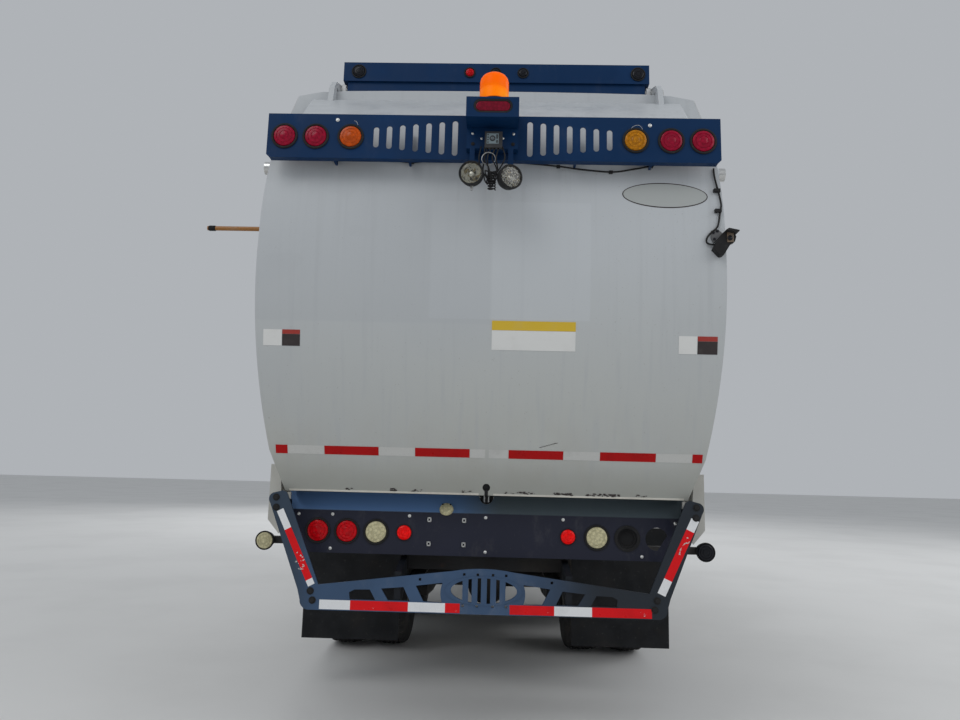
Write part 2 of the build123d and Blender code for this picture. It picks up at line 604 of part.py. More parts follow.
def make_roof_bar():
    y = ROOF_BAR_Y
    z = ROOF_BAR_Z
    w = ROOF_BAR_HALF_W
    outer = block(-w, w, y, y + ROOF_BAR_DEPTH, z, z + ROOF_BAR_H)
    inner = block(-w - 5, w + 5, y + 6, y + ROOF_BAR_DEPTH - 6, z + 6, z + ROOF_BAR_H - 6)
    bar = outer - inner
    for x, r in ROOF_LAMPS:
        bar -= hole(x, y, z + ROOF_BAR_H / 2, r - 8 + RUN_GAP)
    stands = [across(x - 30, x + 30, (y + 20, z), (y + 120, z), (y + 110, BODY_ROOF_Z - 30),
                     (y + 40, BODY_ROOF_Z - 30))
              for x in (-700.0, 0.0, 700.0)]
    return bar, Part() + [stand - body_outline(1, BODY_REAR_Y - 50, BODY_FRONT_Y) for stand in stands]


ROOF_LAMPS = ((-832.0, 44.0), (-157.0, 34.0), (0.0, 34.0), (165.0, 34.0), (857.0, 44.0))


# Tailgate fittings
BAR_Y = -4790.0
BAR_T = 6.0
BAR_HALF_W = 1107.0
BAR_BOTTOM_Z = 2848.0
BAR_FLANGE = 40.0
BAR_CORNER = 16.0
BAR_STAND_XS = (-781.0, -409.0, 409.0, 781.0)
BAR_TOP_Z = 3076.0
BAR_LAMP_Z = 2958.0
BAR_LAMP_XS = (-1021.0, -867.0, -695.0, 695.0, 867.0, 1021.0)
SLOT_COUNT = 7
SLOT_FIRST_X = 183.0
SLOT_PITCH = 64.5
SLOT_W = 34.0
SLOT_LONG = 182.0
SLOT_STEP = 12.5
BOX_HALF_W = 124.0
BOX_Y = -4954.0
BOX_BOTTOM_Z = 2988.0
BOX_DROP = 103.0
BOX_TOP_Z = 3088.0
BOX_LAMP = (2.0, BOX_TOP_Z - 45.0)
BOX_LAMP_W = 184.0
BOX_LAMP_H = 70.0
WORK_LAMPS = ((-95.0, 2722.0), (90.0, 2714.0))
WORK_LAMP_R = 59.0
WORK_LAMP_Y = -4935.0
WORK_LAMP_DEPTH = BAR_Y - 46 - WORK_LAMP_Y


def make_light_bar():
    y = BAR_Y
    w = BAR_HALF_W
    low = BAR_BOTTOM_Z
    c = BAR_CORNER
    face = along(y, y + BAR_T, (-w + c, low), (w - c, low), (w, low + c), (w, BAR_TOP_Z), (-w, BAR_TOP_Z),
                 (-w, low + c))
    flange = block(-w + c, w - c, y, y + BAR_FLANGE, low, low + BAR_T)
    stands = [block(x - 5, x + 5, y, TAILGATE_REAR_Y + 30, low + BAR_T,
                    BAR_TOP_Z - 30) for x in BAR_STAND_XS]
    bar = joined([face, flange] + stands) - tailgate_form(0)
    for s in (-1, 1):
        for k in range(SLOT_COUNT):
            x = s * (SLOT_FIRST_X + k * SLOT_PITCH)
            half = (SLOT_LONG - SLOT_STEP * k) / 2 - SLOT_W / 2
            r = SLOT_W / 2
            mid = BAR_LAMP_Z
            bar -= along(y - 5, y + 20, (x - r, mid - half), ((x, mid - half - r), (x + r, mid - half)),
                         (x + r, mid + half), ((x, mid + half + r), (x - r, mid + half)))
    for x in BAR_LAMP_XS:
        bar -= hole(x, y, BAR_LAMP_Z, GROMMET_R - 8 + RUN_GAP)
    return bar


def oval_lamp(y0, y1, inset):
    """A long lamp with round ends in the front of the camera box."""
    x, z = BOX_LAMP
    r = BOX_LAMP_H / 2 - inset
    half = (BOX_LAMP_W - BOX_LAMP_H) / 2
    return along(y0, y1, (x - half, z - r), (x + half, z - r), ((x + half + r, z), (x + half, z + r)),
                 (x - half, z + r), ((x - half - r, z), (x - half, z - r)))


def make_camera_box():
    """The hood over the rear camera, its plate, and straps down to the work lamps."""
    w = BOX_HALF_W
    foot = BOX_BOTTOM_Z - BOX_DROP
    plate_y = BAR_Y - 46
    outer = block(-w, w, BOX_Y, BAR_Y, BOX_BOTTOM_Z, BOX_TOP_Z)
    outer -= block(-w + 6, w - 6, BOX_Y + 6, BAR_Y + 5, BOX_BOTTOM_Z + 6, BOX_TOP_Z - 6)
    outer -= oval_lamp(BOX_Y - 5, BOX_Y + 20, 0)
    plate = block(-w, w, plate_y, plate_y + 6, foot, BOX_BOTTOM_Z)
    cheeks = [block(s * (w - 3) - 3, s * (w - 3) + 3, plate_y, BAR_Y, foot, BOX_BOTTOM_Z) for s in (-1, 1)]
    tray = block(-w, w, plate_y, BAR_Y, foot, foot + 6)
    lens_box = block(-34, 34, plate_y - 34, plate_y, foot - 6, foot + 71)
    straps = [block(x - 12, x + 12, plate_y, plate_y + 6, z - 20, foot) for x, z in WORK_LAMPS]
    return joined([outer, plate, tray, lens_box] + cheeks + straps)


def make_work_lamps():
    shapes = []
    for x, z in WORK_LAMPS:
        y = WORK_LAMP_Y
        face = loop(lambda p: (x + p[0], y + p[1], z), (0, 0), (WORK_LAMP_R - 8, 4), (WORK_LAMP_R, 0),
                    (WORK_LAMP_R, 35), ((WORK_LAMP_R - 16, 74), (12, WORK_LAMP_DEPTH)),
                    (0, WORK_LAMP_DEPTH))
        shapes.append(revolve(face, Axis((x, y, z), (0, 1, 0)), 360))
    return shapes


BEACON_R = 70.0
BEACON_H = 150.0


def make_beacon():
    x = 5.0
    y = -4885.0
    z = BOX_TOP_Z
    r = BEACON_R
    h = BEACON_H
    face = loop(lambda p: (x + p[0], y, z + p[1]), (0, 0), (r, 0), (r, h - 40),
                ((r - 13, h - 14), (r - 45, h)), (0, h))
    return revolve(face, Axis((x, y, z), (0, 0, 1)), 360)


def make_side_fittings():
    """A side camera on the right edge of the tailgate, and an indicator rod on the left."""
    x = TAILGATE_HALF_W
    bracket = block(x - 3, x + 12, -4620, -4560, 2480, 2560)
    camera = block(x + 12, x + 70, -4690, -4600, 2470, 2560)
    shape = joined([bracket, camera]) - tailgate_form(0)
    mount = block(-x - 14, -x + 3, -4380, -4320, 2600, 2660)
    bar = rod((-1550, -4350, 2630), (-x - 10, -4350, 2630), 12.0)
    return shape, joined([mount, bar]) - tailgate_form(0)


# Tailgate cylinders, opened at the rod's eye
CYL_R = 32.0
CYL_X = BODY_EAVE_X + BODY_HOOP_T + CYL_R + 7
CYL_BODY = (-3250.0, 3250.0)
CYL_GATE = (-4300.0, 3000.0)
CYL_ROD_R = 18.0
CYL_PIN_R = 16.0
CYL_EYE_HALF = 17.0


def cylinder_axis():
    dy = CYL_GATE[0] - CYL_BODY[0]
    dz = CYL_GATE[1] - CYL_BODY[1]
    length = math.hypot(dy, dz)
    return dy / length, dz / length, length


def make_cylinder(side):
    uy, uz, length = cylinder_axis()
    foot_r = CYL_R + 4

    def at(s, x=CYL_X):
        return (side * x, CYL_BODY[0] + uy * s, CYL_BODY[1] + uz * s)

    barrel_end = length - 190
    x0 = CYL_X - CYL_EYE_HALF
    x1 = CYL_X + CYL_EYE_HALF
    barrel = rod(at(60), at(barrel_end), CYL_R) - rod(at(150), at(barrel_end + 5), CYL_ROD_R + RUN_GAP)
    base_eye = rod(at(0, x0), at(0, x1), foot_r)
    neck = rod(at(20), at(64), CYL_EYE_HALF)
    ram = rod(at(170), at(length - 20), CYL_ROD_R - 1)
    eye = rod(at(length, x0), at(length, x1), foot_r) - rod(at(length, x0 - 5), at(length, x1 + 5),
                                                            CYL_PIN_R)
    bore = rod(at(0, x0 - 5), at(0, x1 + 5), CYL_PIN_R + RUN_GAP)
    return joined([barrel, base_eye, neck]) - bore, joined([ram - rod(at(length, x0), at(length, x1),
                                                                      CYL_R), eye])


def make_cylinder_boss(side):
    """The boss and pin on the body that carry a cylinder's foot."""
    y, z = CYL_BODY
    boss = rod((side * (BODY_EAVE_X - 15), y, z), (side * (CYL_X - CYL_EYE_HALF - RUN_GAP), y, z),
               CYL_R + 8)
    pin = rod((side * (BODY_EAVE_X - 15), y, z), (side * (CYL_X + CYL_EYE_HALF + 8), y, z), CYL_PIN_R)
    return joined([boss, pin]) - body_outline(BODY_SHELL_T, y - 100, y + 100)


def make_gate_boss(side):
    """The boss on the tailgate beside a cylinder's rod eye."""
    y, z = CYL_GATE
    boss = rod((side * (TAILGATE_TOP_HALF_W - 60), y, z), (side * (CYL_X - CYL_EYE_HALF - RUN_GAP), y, z),
               CYL_R + 4)
    return boss - tailgate_form(TAILGATE_SHELL_T)


# Cab: hollow low-entry shell with a tunnel over the engine
def cab_side(inset, x0, x1):
    t = inset
    f = CAB_FRONT_Y
    r = CAB_REAR_Y
    return across(x0, x1, (r + t, CAB_DECK_Z + t), (4190 + t, CAB_DECK_Z + t), (4190 + t, CAB_STEP_Z + t),
                  (TILT_Y - 10 - t * 0.4, CAB_STEP_Z + t), (f - 20 - t, 760 + t * 0.4), (f - t, 1350),
                  ((f - 60 - t, 2000), (f - 230 - t, 2520)),
                  ((f - 300 - t, 2670 - t * 0.6), (f - 430 - t, CAB_TOP_Z + 30 - t)),
                  (r + 100 + t, CAB_TOP_Z + 30 - t),
                  ((r + 25 + t, CAB_TOP_Z - 20 - t), (r + t, CAB_TOP_Z - 100 - t)))


def cab_form(inset):
    """The cab's outer form, inset from its skin."""
    t = inset
    w = CAB_HALF_W - t
    side = cab_side(t, -1300, 1300)
    front = along(CAB_REAR_Y - 50, CAB_FRONT_Y + 50, (-w, 500), (w, 500), (w, 1500), (w - 45, 2540 - t),
                  ((w - 70, 2660 - t), (w - 170, 2715 - t)), ((0, CAB_TOP_Z - t), (-w + 170, 2715 - t)),
                  ((-w + 70, 2660 - t), (-w + 45, 2540 - t)), (-w, 1500))
    c = 110.0
    d = 32.0
    f = CAB_FRONT_Y - t
    r = CAB_REAR_Y + t
    plan = upward(400, 2900, (-w, r + 60), ((-w + 18, r + 18), (-w + 60, r)), (w - 60, r),
                  ((w - 18, r + 18), (w, r + 60)), (w, f - c), ((w - d, f - d), (w - c, f)), (-w + c, f),
                  ((-w + d, f - d), (-w, f - c)))
    th = TUNNEL_HALF_W + t
    tunnel = block(-th, th, 4190 - 50, CAB_FRONT_Y + 100, 400, CAB_DECK_Z + t)
    return (side & front & plan) - tunnel


DOOR_FRONT_Y = 4740.0
DOOR_STEP_Y = 4250.0
DOOR_REAR_Y = 3620.0
DOOR_BOTTOM_Z = 670.0
DOOR_WAIST_Z = 1340.0
DOOR_TOP_Z = 2470.0
DOOR_HINGE_X = CAB_HALF_W + 22.0
DOOR_HINGE_ZS = (800.0, 1300.0)
GLASS_T = 6.0
GLASS_INSET = 20.0


def door_prism(grow, x0, x1):
    g = grow
    return across(x0, x1, (DOOR_FRONT_Y + g, DOOR_BOTTOM_Z - g), (DOOR_FRONT_Y + g, 1500),
                  (4560 + g, DOOR_TOP_Z + g),
                  (DOOR_REAR_Y - g, DOOR_TOP_Z + g), (DOOR_REAR_Y - g, DOOR_WAIST_Z - g),
                  (DOOR_STEP_Y - g, DOOR_WAIST_Z - g), (DOOR_STEP_Y - g, DOOR_BOTTOM_Z - g))


def door_window(x0, x1):
    return across(x0, x1, (4640, 1440), (4480, 2380), (DOOR_REAR_Y + 90, 2380), (DOOR_REAR_Y + 90, 1480))


WINDSHIELD_HALF_W = 1010.0
WINDSHIELD_SILL_Z = 1480.0
WINDSHIELD_TOP_Z = 2440.0


def windshield_prism():
    w = WINDSHIELD_HALF_W
    top = WINDSHIELD_TOP_Z
    return along(CAB_FRONT_Y - 600, CAB_FRONT_Y + 100, (-w, WINDSHIELD_SILL_Z), (w, WINDSHIELD_SILL_Z),
                 (w - 45, top), (-w + 45, top))


def rear_window_prism():
    return along(CAB_REAR_Y - 20, CAB_REAR_Y + 200, (-760, 1750), (760, 1750), (760, 2350), (-760, 2350))


def hinge_axis_y():
    return DOOR_FRONT_Y + 24.0


def make_cab():
    """Returns the shell, the panes, and for each side a door and its pane."""
    outer = cab_form(0)
    inner = cab_form(CAB_WALL_T)
    wall = outer - inner
    pane_layer = cab_form(GLASS_INSET) - cab_form(GLASS_INSET + GLASS_T)
    shell = wall - windshield_prism() - rear_window_prism()
    front_glass = pane_layer & windshield_prism()
    rear_glass = pane_layer & rear_window_prism()
    front_solids = [s for s in front_glass.solids() if s.center().Y > 4300]
    rear_solids = [s for s in rear_glass.solids() if s.center().Y < 3300]
    doors = []
    for side in (-1, 1):
        x0 = min(side * 1000, side * 1300)
        x1 = max(side * 1000, side * 1300)
        shell -= door_prism(PANEL_GAP, x0, x1)
        door = (wall & door_prism(0, x0, x1)) - door_window(x0, x1)
        pane = pane_layer & door_window(x0, x1)
        pin_x = side * DOOR_HINGE_X
        y = hinge_axis_y()
        knuckles = []
        for z in DOOR_HINGE_ZS:
            pin = rod((pin_x, y, z - 70), (pin_x, y, z + 70), 8.0)
            lug_x0 = side * (CAB_HALF_W - 12)
            lug_x1 = side * (DOOR_HINGE_X + 10)
            tab_x0 = side * (DOOR_HINGE_X - 13)
            for dz in (-55.0, 55.0):
                lug = block(min(lug_x0, lug_x1), max(lug_x0, lug_x1), y - 12, y + 60, z + dz - 12,
                            z + dz + 12)
                shell = shell.fuse(lug - inner)
            shell = shell.fuse(pin)
            leaf = block(min(lug_x0, lug_x1), max(lug_x0, lug_x1), y - 100, DOOR_FRONT_Y, z - 36, z + 36)
            tab = leaf.fuse(block(min(tab_x0, lug_x1), max(tab_x0, lug_x1), y - 60, y, z - 36, z + 36))
            knuckle = rod((pin_x, y, z - 40), (pin_x, y, z + 40), 15.0)
            knuckles.append((tab, knuckle, rod((pin_x, y, z - 80), (pin_x, y, z + 80), 8.0 + RUN_GAP)))
        for tab, knuckle, bore in knuckles:
            door = door.fuse(tab - inner, knuckle) - bore
        doors.append((door, pane))
    for s in (-1, 1):
        x0 = s * (TUNNEL_HALF_W - 8) - 14
        lug = rod((x0, TILT_Y, TILT_Z), (x0 + 28, TILT_Y, TILT_Z), 44.0)
        lug = lug.fuse(block(x0, x0 + 28, TILT_Y - 120, TILT_Y, TILT_Z - 40, TILT_Z + 110))
        shell = shell.fuse(lug) - rod((s * 380, TILT_Y, TILT_Z), (s * 515, TILT_Y, TILT_Z), 20.0 + RUN_GAP)
    return shell, front_solids + rear_solids, doors


def make_cab_front():
    """Slatted grille panel on the cab's nose, and the headlamps."""
    y = CAB_FRONT_Y - 12
    frame = block(-520, 520, y - 6, y + 22, 860, 1240) - block(-490, 490, y - 20, y + 30, 890, 1210)
    slats = [block(-495, 495, y, y + 14, z, z + 22) for z in (925.0, 985.0, 1045.0, 1105.0, 1165.0)]
    panel = joined([frame] + slats) - cab_form(0)
    lamps = []
    for s in (-1, 1):
        cup = along(y - 25, y + 28, (s * 640, 850), (s * 960, 850), ((s * 1000, 935), (s * 960, 1020)),
                    (s * 640, 1020), ((s * 620, 935), (s * 640, 850)))
        lamps.append(cup - cab_form(0))
    return panel, lamps


def make_cab_interior():
    """Seats on the deck, and the dash with its steering columns."""
    deck = CAB_DECK_Z + CAB_WALL_T
    seats = []
    for x in (-720.0, 720.0):
        base = block(x - 200, x + 200, 3480, 3920, deck, deck + 180)
        cushion = block(x - 240, x + 240, 3420, 3960, deck + 180, deck + 300)
        back = across(x - 230, x + 230, (3440, deck + 290), (3330, deck + 950), (3230, deck + 940),
                      (3310, deck + 290))
        seats.append(joined([base, cushion, back]))
    dash = across(-1080, 1080, (4560, 1300), (4640, 1240), (4790, 1240), (4790, 1395), (4640, 1430),
                  (4540, 1390))
    dash = dash & cab_form(CAB_WALL_T + RUN_GAP)
    stem = block(-380, 380, TILT_Y - 200, TILT_Y - 40, deck, deck + 10)
    wheels = []
    for x in (-720.0, 720.0):
        column = rod((x, 4620, 1330), (x, 4330, 1560), 25)
        ring = Pos(x, 4330, 1560) * Rot(X=52) * Torus(205, 14)
        spokes = [Pos(x, 4330, 1560) * Rot(X=52) * Rot(Z=a) * Box(400, 24, 14) for a in (0, 90)]
        hub = Pos(x, 4330, 1560) * Rot(X=52) * Cylinder(45, 40)
        wheels.append(joined([ring, hub, column] + spokes))
    return seats, joined([dash, stem] + wheels)


MIRROR_X = 1400.0
MIRROR_Y = 4735.0
MIRROR_T = 70.0
MIRROR_HALF_W = 95.0
MIRROR_ARM_ZS = (1960.0, 1480.0)


def make_mirrors():
    """A long and a wide angle mirror on each side, ahead of the door hinges."""
    shapes = []
    y = MIRROR_Y
    stem_y = y + MIRROR_T + 9
    for s in (-1, 1):
        x = s * MIRROR_X
        w = MIRROR_HALF_W
        head = block(x - w, x + w, y, y + MIRROR_T, 1700, 2080)
        spot = block(x - w, x + w, y, y + MIRROR_T, 1520, 1680)
        post = rod((x, stem_y, 1455), (x, stem_y, 2100), 14)
        arms = [rod((s * 1060, stem_y, z), (x, stem_y, z), 12) for z in MIRROR_ARM_ZS]
        shape = joined([head, spot, post] + arms)
        shapes.append(shape - cab_form(0))
    return shapes


# Bumper, engine, tanks, exhaust and mudflaps
def make_bumper():
    f = BUMPER_FRONT_Y
    bar = upward(430, 655, (-1150, f - 90), (-430, f - 90), (430, f - 90), (1150, f - 90),
                 ((1120, f - 30), (1030, f - 8)), ((0, f), (-1030, f - 8)),
                 ((-1120, f - 30), (-1150, f - 90)))
    core = block(-1090, 1090, f - 100, f - 22, 445, 640)
    back = block(-1090, 1090, f - 90, f - 82, 440, 650)
    bumper = joined([bar - core, back])
    for s in (-1, 1):
        bumper = bumper.fuse(rod((s * TOW_X, f - 90, TOW_Z), (s * TOW_X, f, TOW_Z), TOW_HOLE_R + 16))
        bumper -= rod((s * TOW_X, f - 120, TOW_Z), (s * TOW_X, f + 20, TOW_Z), TOW_HOLE_R)
    return bumper


TOW_X = 620.0
TOW_Z = 540.0
TOW_HOLE_R = 26.0


def make_engine():
    body = block(-320, 320, CAB_REAR_Y + 20, 4150, FRONT_BEAM_TOP + 140, CAB_DECK_Z - 90)
    lugs = [block(-RAIL_OUTER_X + RAIL_T, RAIL_OUTER_X - RAIL_T, y - 40, y + 40, RAIL_TOP - 190,
                  RAIL_TOP - 90)
            for y in (3300.0, 4000.0)]
    return joined([body] + lugs)


def make_tanks():
    """Fuel tank on the left rail, air tanks on the right, and the hydraulic oil box."""
    fuel = rod((-690, 1500, 760), (-690, 2450, 760), 235)
    straps = [block(-700, -RAIL_OUTER_X, y - 30, y + 30, 740, 800) for y in (1700.0, 2250.0)]
    air = []
    for z in (700.0, 930.0):
        air.append(rod((560, 100, z), (560, 1200, z), 105))
    air_feet = [block(RAIL_OUTER_X, 560, y - 25, y + 25, 690, 940) for y in (300.0, 1000.0)]
    oil = block(-1050, -RAIL_OUTER_X, 200, 1100, 620, 1010)
    return [joined([fuel] + straps), joined(air + air_feet), oil]


def make_exhaust():
    """Upright silencer and stack behind the cab's left corner."""
    x = -1045.0
    y = 3030.0
    muffler = rod((x, y, 1330), (x, y, 2350), 88)
    pipe = rod((x, y, 1180), (x, y, 3050), 52)
    foot = block(x - 90, -RAIL_OUTER_X, y - 50, y + 50, 900, 960)
    post = block(x - 60, x + 60, y - 50, y + 50, 960, 1190)
    return joined([muffler, pipe, foot, post])


FLAP_Y = -3350.0
FLAP_HALF_W = 305.0
FLAP_X = 850.0
FLAP_BOTTOM_Z = 290.0
FLAP_TOP_Z = 1020.0


def make_mudflaps():
    flaps = []
    hangers = []
    for s in (-1, 1):
        x = s * FLAP_X
        flaps.append(block(x - FLAP_HALF_W, x + FLAP_HALF_W, FLAP_Y - 5, FLAP_Y + 5, FLAP_BOTTOM_Z,
                           FLAP_TOP_Z))
        inner = s * RAIL_OUTER_X
        outer = s * (FLAP_X + FLAP_HALF_W)
        hangers.append(block(min(inner, outer), max(inner, outer), FLAP_Y + 5, FLAP_Y + 45, FLAP_TOP_Z - 60,
                             FLAP_TOP_Z))
    return flaps, hangers


SIDE_LAMP_X = 1238.0
SIDE_LAMP_Y = -3900.0
SIDE_LAMP_Z = 935.0


def make_side_lamps():
    shapes = []
    for s in (-1, 1):
        x = s * SIDE_LAMP_X
        shapes.append(lamp(x, SIDE_LAMP_Y, SIDE_LAMP_Z, 46, 52, 50))
    return shapes


def make_side_brackets():
    shapes = []
    for s in (-1, 1):
        x0 = s * (SIDE_LAMP_X)
        inner = s * RAIL_OUTER_X
        shapes.append(block(min(inner, x0), max(inner, x0), SIDE_LAMP_Y + 50, SIDE_LAMP_Y + 90,
                            SIDE_LAMP_Z - 20,
                            SIDE_LAMP_Z + 20))
    return shapes


# Loading arm: transverse guide, two telescoping beams, mast, lift arm and gripper
GUIDE_X0 = -880.0
GUIDE_X1 = 720.0


def square_tube(x0, x1, half_y, half_z, wall):
    tube = block(x0, x1, ARM_Y - half_y, ARM_Y + half_y, BEAM_Z - half_z, BEAM_Z + half_z)
    return tube - block(x0 - 5, x1 + 5, ARM_Y - half_y + wall, ARM_Y + half_y - wall,
                        BEAM_Z - half_z + wall,
                        BEAM_Z + half_z - wall)


def make_guide():
    tube = square_tube(GUIDE_X0, GUIDE_X1, GUIDE_W / 2, GUIDE_H / 2, BEAM_WALL_T)
    feet = [block(s * 390 - 42, s * 390 + 42, ARM_Y - GUIDE_W / 2, ARM_Y + GUIDE_W / 2, RAIL_TOP,
                  BEAM_Z - GUIDE_H / 2)
            for s in (-1, 1)]
    return joined([tube] + feet)


def stage_halves(number):
    """Half width and half height of telescoping beam 1 or 2."""
    step = BEAM_WALL_T + SLIDE_GAP + 6.0
    return GUIDE_W / 2 - number * step, GUIDE_H / 2 - number * step


def wear_pads(x0, x1, number):
    """Pads that carry a telescoping beam inside the next larger one."""
    half_y, half_z = stage_halves(number)
    reach = 11.5 - RUN_GAP
    pads = []
    for x in (x0, x1):
        pads.append(block(x - 60, x + 60, ARM_Y - half_y + 20, ARM_Y + half_y - 20, BEAM_Z - half_z - reach,
                          BEAM_Z - half_z + 1))
    return pads


def make_stage_one():
    half_y, half_z = stage_halves(1)
    tube = square_tube(GUIDE_X0 + 60, GUIDE_X1 + 60, half_y, half_z, BEAM_WALL_T)
    return joined([tube] + wear_pads(GUIDE_X0 + 130, GUIDE_X0 + 700, 1))


def make_stage_two():
    half_y, half_z = stage_halves(2)
    tube = square_tube(GUIDE_X0 + 120, MAST_X - 60, half_y, half_z, BEAM_WALL_T)
    mast = block(MAST_X - 70, MAST_X + 20, ARM_Y - 80, ARM_Y + 80, BEAM_Z - half_z, LIFT_PIVOT_Z + 60)
    pin = rod((MAST_X - 20, ARM_Y - 135, LIFT_PIVOT_Z), (MAST_X - 20, ARM_Y + 135, LIFT_PIVOT_Z), 30)
    pieces = [tube, mast, pin] + wear_pads(GUIDE_X0 + 190, GUIDE_X0 + 760, 2)
    return joined(pieces)


LIFT_X = MAST_X - 20.0
ARM_OUT_X = 1035.0
ARM_OUT_T = 75.0
GRIP_Z = LIFT_PIVOT_Z - LIFT_LENGTH
FINGER_PIVOT_DY = 170.0
FINGER_REACH = 430.0
FINGER_X = ARM_OUT_X + ARM_OUT_T + 44.0
FINGER_PIN_R = 18.0


def make_lift_arm():
    """Two cheeks on the mast's pin, an outer box down to the gripper head."""
    pieces = []
    for s in (-1, 1):
        y0 = ARM_Y + s * 108 - 16
        z = LIFT_PIVOT_Z
        outer = ARM_OUT_X + ARM_OUT_T
        cheek = along(y0, y0 + 32, (LIFT_X - 60, z), ((LIFT_X - 20, z + 60), (LIFT_X + 60, z + 55)),
                      (outer, z - 90), (outer, z - 420), (ARM_OUT_X, z - 420), (ARM_OUT_X - 20, z - 160),
                      ((LIFT_X + 20, z - 75), (LIFT_X - 60, z)))
        pieces.append(cheek)
    spine = block(ARM_OUT_X, ARM_OUT_X + ARM_OUT_T, ARM_Y - 124, ARM_Y + 124, GRIP_Z - 90,
                  LIFT_PIVOT_Z - 200)
    pieces.append(spine)
    offset = block(ARM_OUT_X, ARM_OUT_X + ARM_OUT_T, GRIP_Y - FINGER_PIVOT_DY - 60, ARM_Y - 124,
                   GRIP_Z - 80, GRIP_Z + 80)
    pieces.append(offset)
    for s in (-1, 1):
        y = GRIP_Y + s * FINGER_PIVOT_DY
        for z in (GRIP_Z - 95, GRIP_Z + 75):
            pieces.append(block(ARM_OUT_X + 20, FINGER_X, y - 45, y + 45, z, z + 20))
            pieces.append(rod((FINGER_X, y, z), (FINGER_X, y, z + 20), 45))
        pieces.append(rod((FINGER_X, y, GRIP_Z - 105), (FINGER_X, y, GRIP_Z + 105), FINGER_PIN_R))
    arm = joined(pieces)
    bore = rod((LIFT_X, ARM_Y - 200, LIFT_PIVOT_Z), (LIFT_X, ARM_Y + 200, LIFT_PIVOT_Z), 30 + RUN_GAP)
    return arm - bore


def make_finger(s):
    """A curved gripper finger, lying open along the truck's side."""
    y = GRIP_Y + s * FINGER_PIVOT_DY
    x = FINGER_X
    tip = y + s * FINGER_REACH
    bands = []
    for z in (GRIP_Z - 62, GRIP_Z + 12):
        bands.append(upward(z, z + 50, (x + 38, y), ((x + 62, (y + tip) / 2), (x + 30, tip)), (x + 12, tip),
                            ((x + 40, (y + tip) / 2), (x, y + s * 36)), (x - 20, y)))
        bands.append(rod((x, y, z), (x, y, z + 50), 38))
    barrel = rod((x, y, GRIP_Z - 70), (x, y, GRIP_Z + 70), 38)
    tie = block(x + 8, x + 32, min(tip, tip - s * 30), max(tip, tip - s * 30), GRIP_Z - 62, GRIP_Z + 62)
    finger = joined(bands + [barrel, tie])
    return finger - rod((x, y, GRIP_Z - 200), (x, y, GRIP_Z + 200), FINGER_PIN_R + RUN_GAP)


def make_nodes():
    """Build every named piece."""
    flaps, flap_hangers = make_mudflaps()
    camera_shape, rod_shape = make_side_fittings()
    node("chassis_frame", make_frame().fuse(*flap_hangers, *make_side_brackets()))
    node("axles", make_front_axle(), *[make_rear_axle(y) for y in AXLE_YS])
    node("suspension", make_suspension())
    for name, side in (("left", -1), ("right", 1)):
        for row, y in (("rear", AXLE_YS[0]), ("mid", AXLE_YS[1])):
            tyres, wheel = make_dual(side, y)
            node(f"tyres_{row}_{name}", *tyres)
            node(f"wheel_{row}_{name}", wheel)
        rubber, wheel = make_steer_wheel(side)
        node(f"tyre_front_{name}", rubber)
        node(f"wheel_front_{name}", wheel)
        node(f"knuckle_{name}", make_knuckle(side))
    node("mudflaps", *flaps)
    node("engine_block", make_engine())
    node("tanks", *make_tanks())
    node("exhaust_stack", make_exhaust())
    node("front_bumper", make_bumper())
    wing_face, wing_skirt, wing_web = make_rear_wings()
    wing = joined([wing_face, wing_skirt, wing_web])
    bar, stands = make_roof_bar()
    body = make_load_body().fuse(*make_hinge_brackets(), *both_sides(wing), *stands.solids(),
                                 *[make_cylinder_boss(s) for s in (-1, 1)])
    node("load_body", body)
    node("hopper", make_hopper())
    node("packer", make_packer())
    node("roof_bar", bar)
    node("lamp_panel", make_light_panel())
    node("underride_guard", make_guard())
    lamps = [lamp(x, PANEL_Y, PANEL_LAMP_Z) for x in PANEL_LAMP_XS]
    lamps += [lamp(x, PANEL_Y, PANEL_LAMP_Z, MARKER_R - 8, MARKER_R) for x in PANEL_MARKER_XS]
    lamps += [lamp(x, ROOF_BAR_Y, ROOF_BAR_Z + ROOF_BAR_H / 2, r - 8, r) for x, r in ROOF_LAMPS]
    node("body_lamps", *lamps, *make_side_lamps())
    gate = make_tailgate().fuse(*[make_gate_boss(s) for s in (-1, 1)])
    node("tailgate", gate)
    node("tailgate_light_bar", make_light_bar())
    gate_lamps = [lamp(x, BAR_Y, BAR_LAMP_Z) for x in BAR_LAMP_XS]
    node("tailgate_lamps", *gate_lamps, oval_lamp(BOX_Y + 1, BOX_Y + 28, RUN_GAP))
    node("camera_box", make_camera_box())
    node("work_lamps", *make_work_lamps())
    node("beacon", make_beacon())
    node("edge_camera", camera_shape)
    node("side_rod", rod_shape)
    for name, side in (("left", -1), ("right", 1)):
        barrel, ram = make_cylinder(side)
        node(f"gate_cylinder_{name}", barrel)
        node(f"gate_ram_{name}", ram)
    shell, panes, doors = make_cab()
    node("cab_shell", shell)
    node("cab_glass", *panes)
    for name, (door, pane) in zip(("left", "right"), doors):
        node(f"door_{name}", door)
        node(f"door_glass_{name}", pane)
    grille, headlamps = make_cab_front()
    node("grille", grille)
    node("headlamps", *headlamps)
    seats, dash = make_cab_interior()
    node("seats", *seats)
    node("dash", dash)
    node("mirrors", *make_mirrors())
    node("arm_guide", make_guide())
    node("reach_beam_outer", make_stage_one())
    node("reach_beam_mast", make_stage_two())
    node("lift_arm", make_lift_arm())
    node("finger_front", make_finger(1))
    node("finger_rear", make_finger(-1))


def write_parts():
    os.makedirs("parts", exist_ok=True)
    for name, solids in NODES.items():
        shape = solids[0] if len(solids) == 1 else Compound(solids)
        export_step(shape, f"parts/{name}.step")
    print(len(NODES), "nodes")


make_nodes()
write_parts()
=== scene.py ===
import math
import random

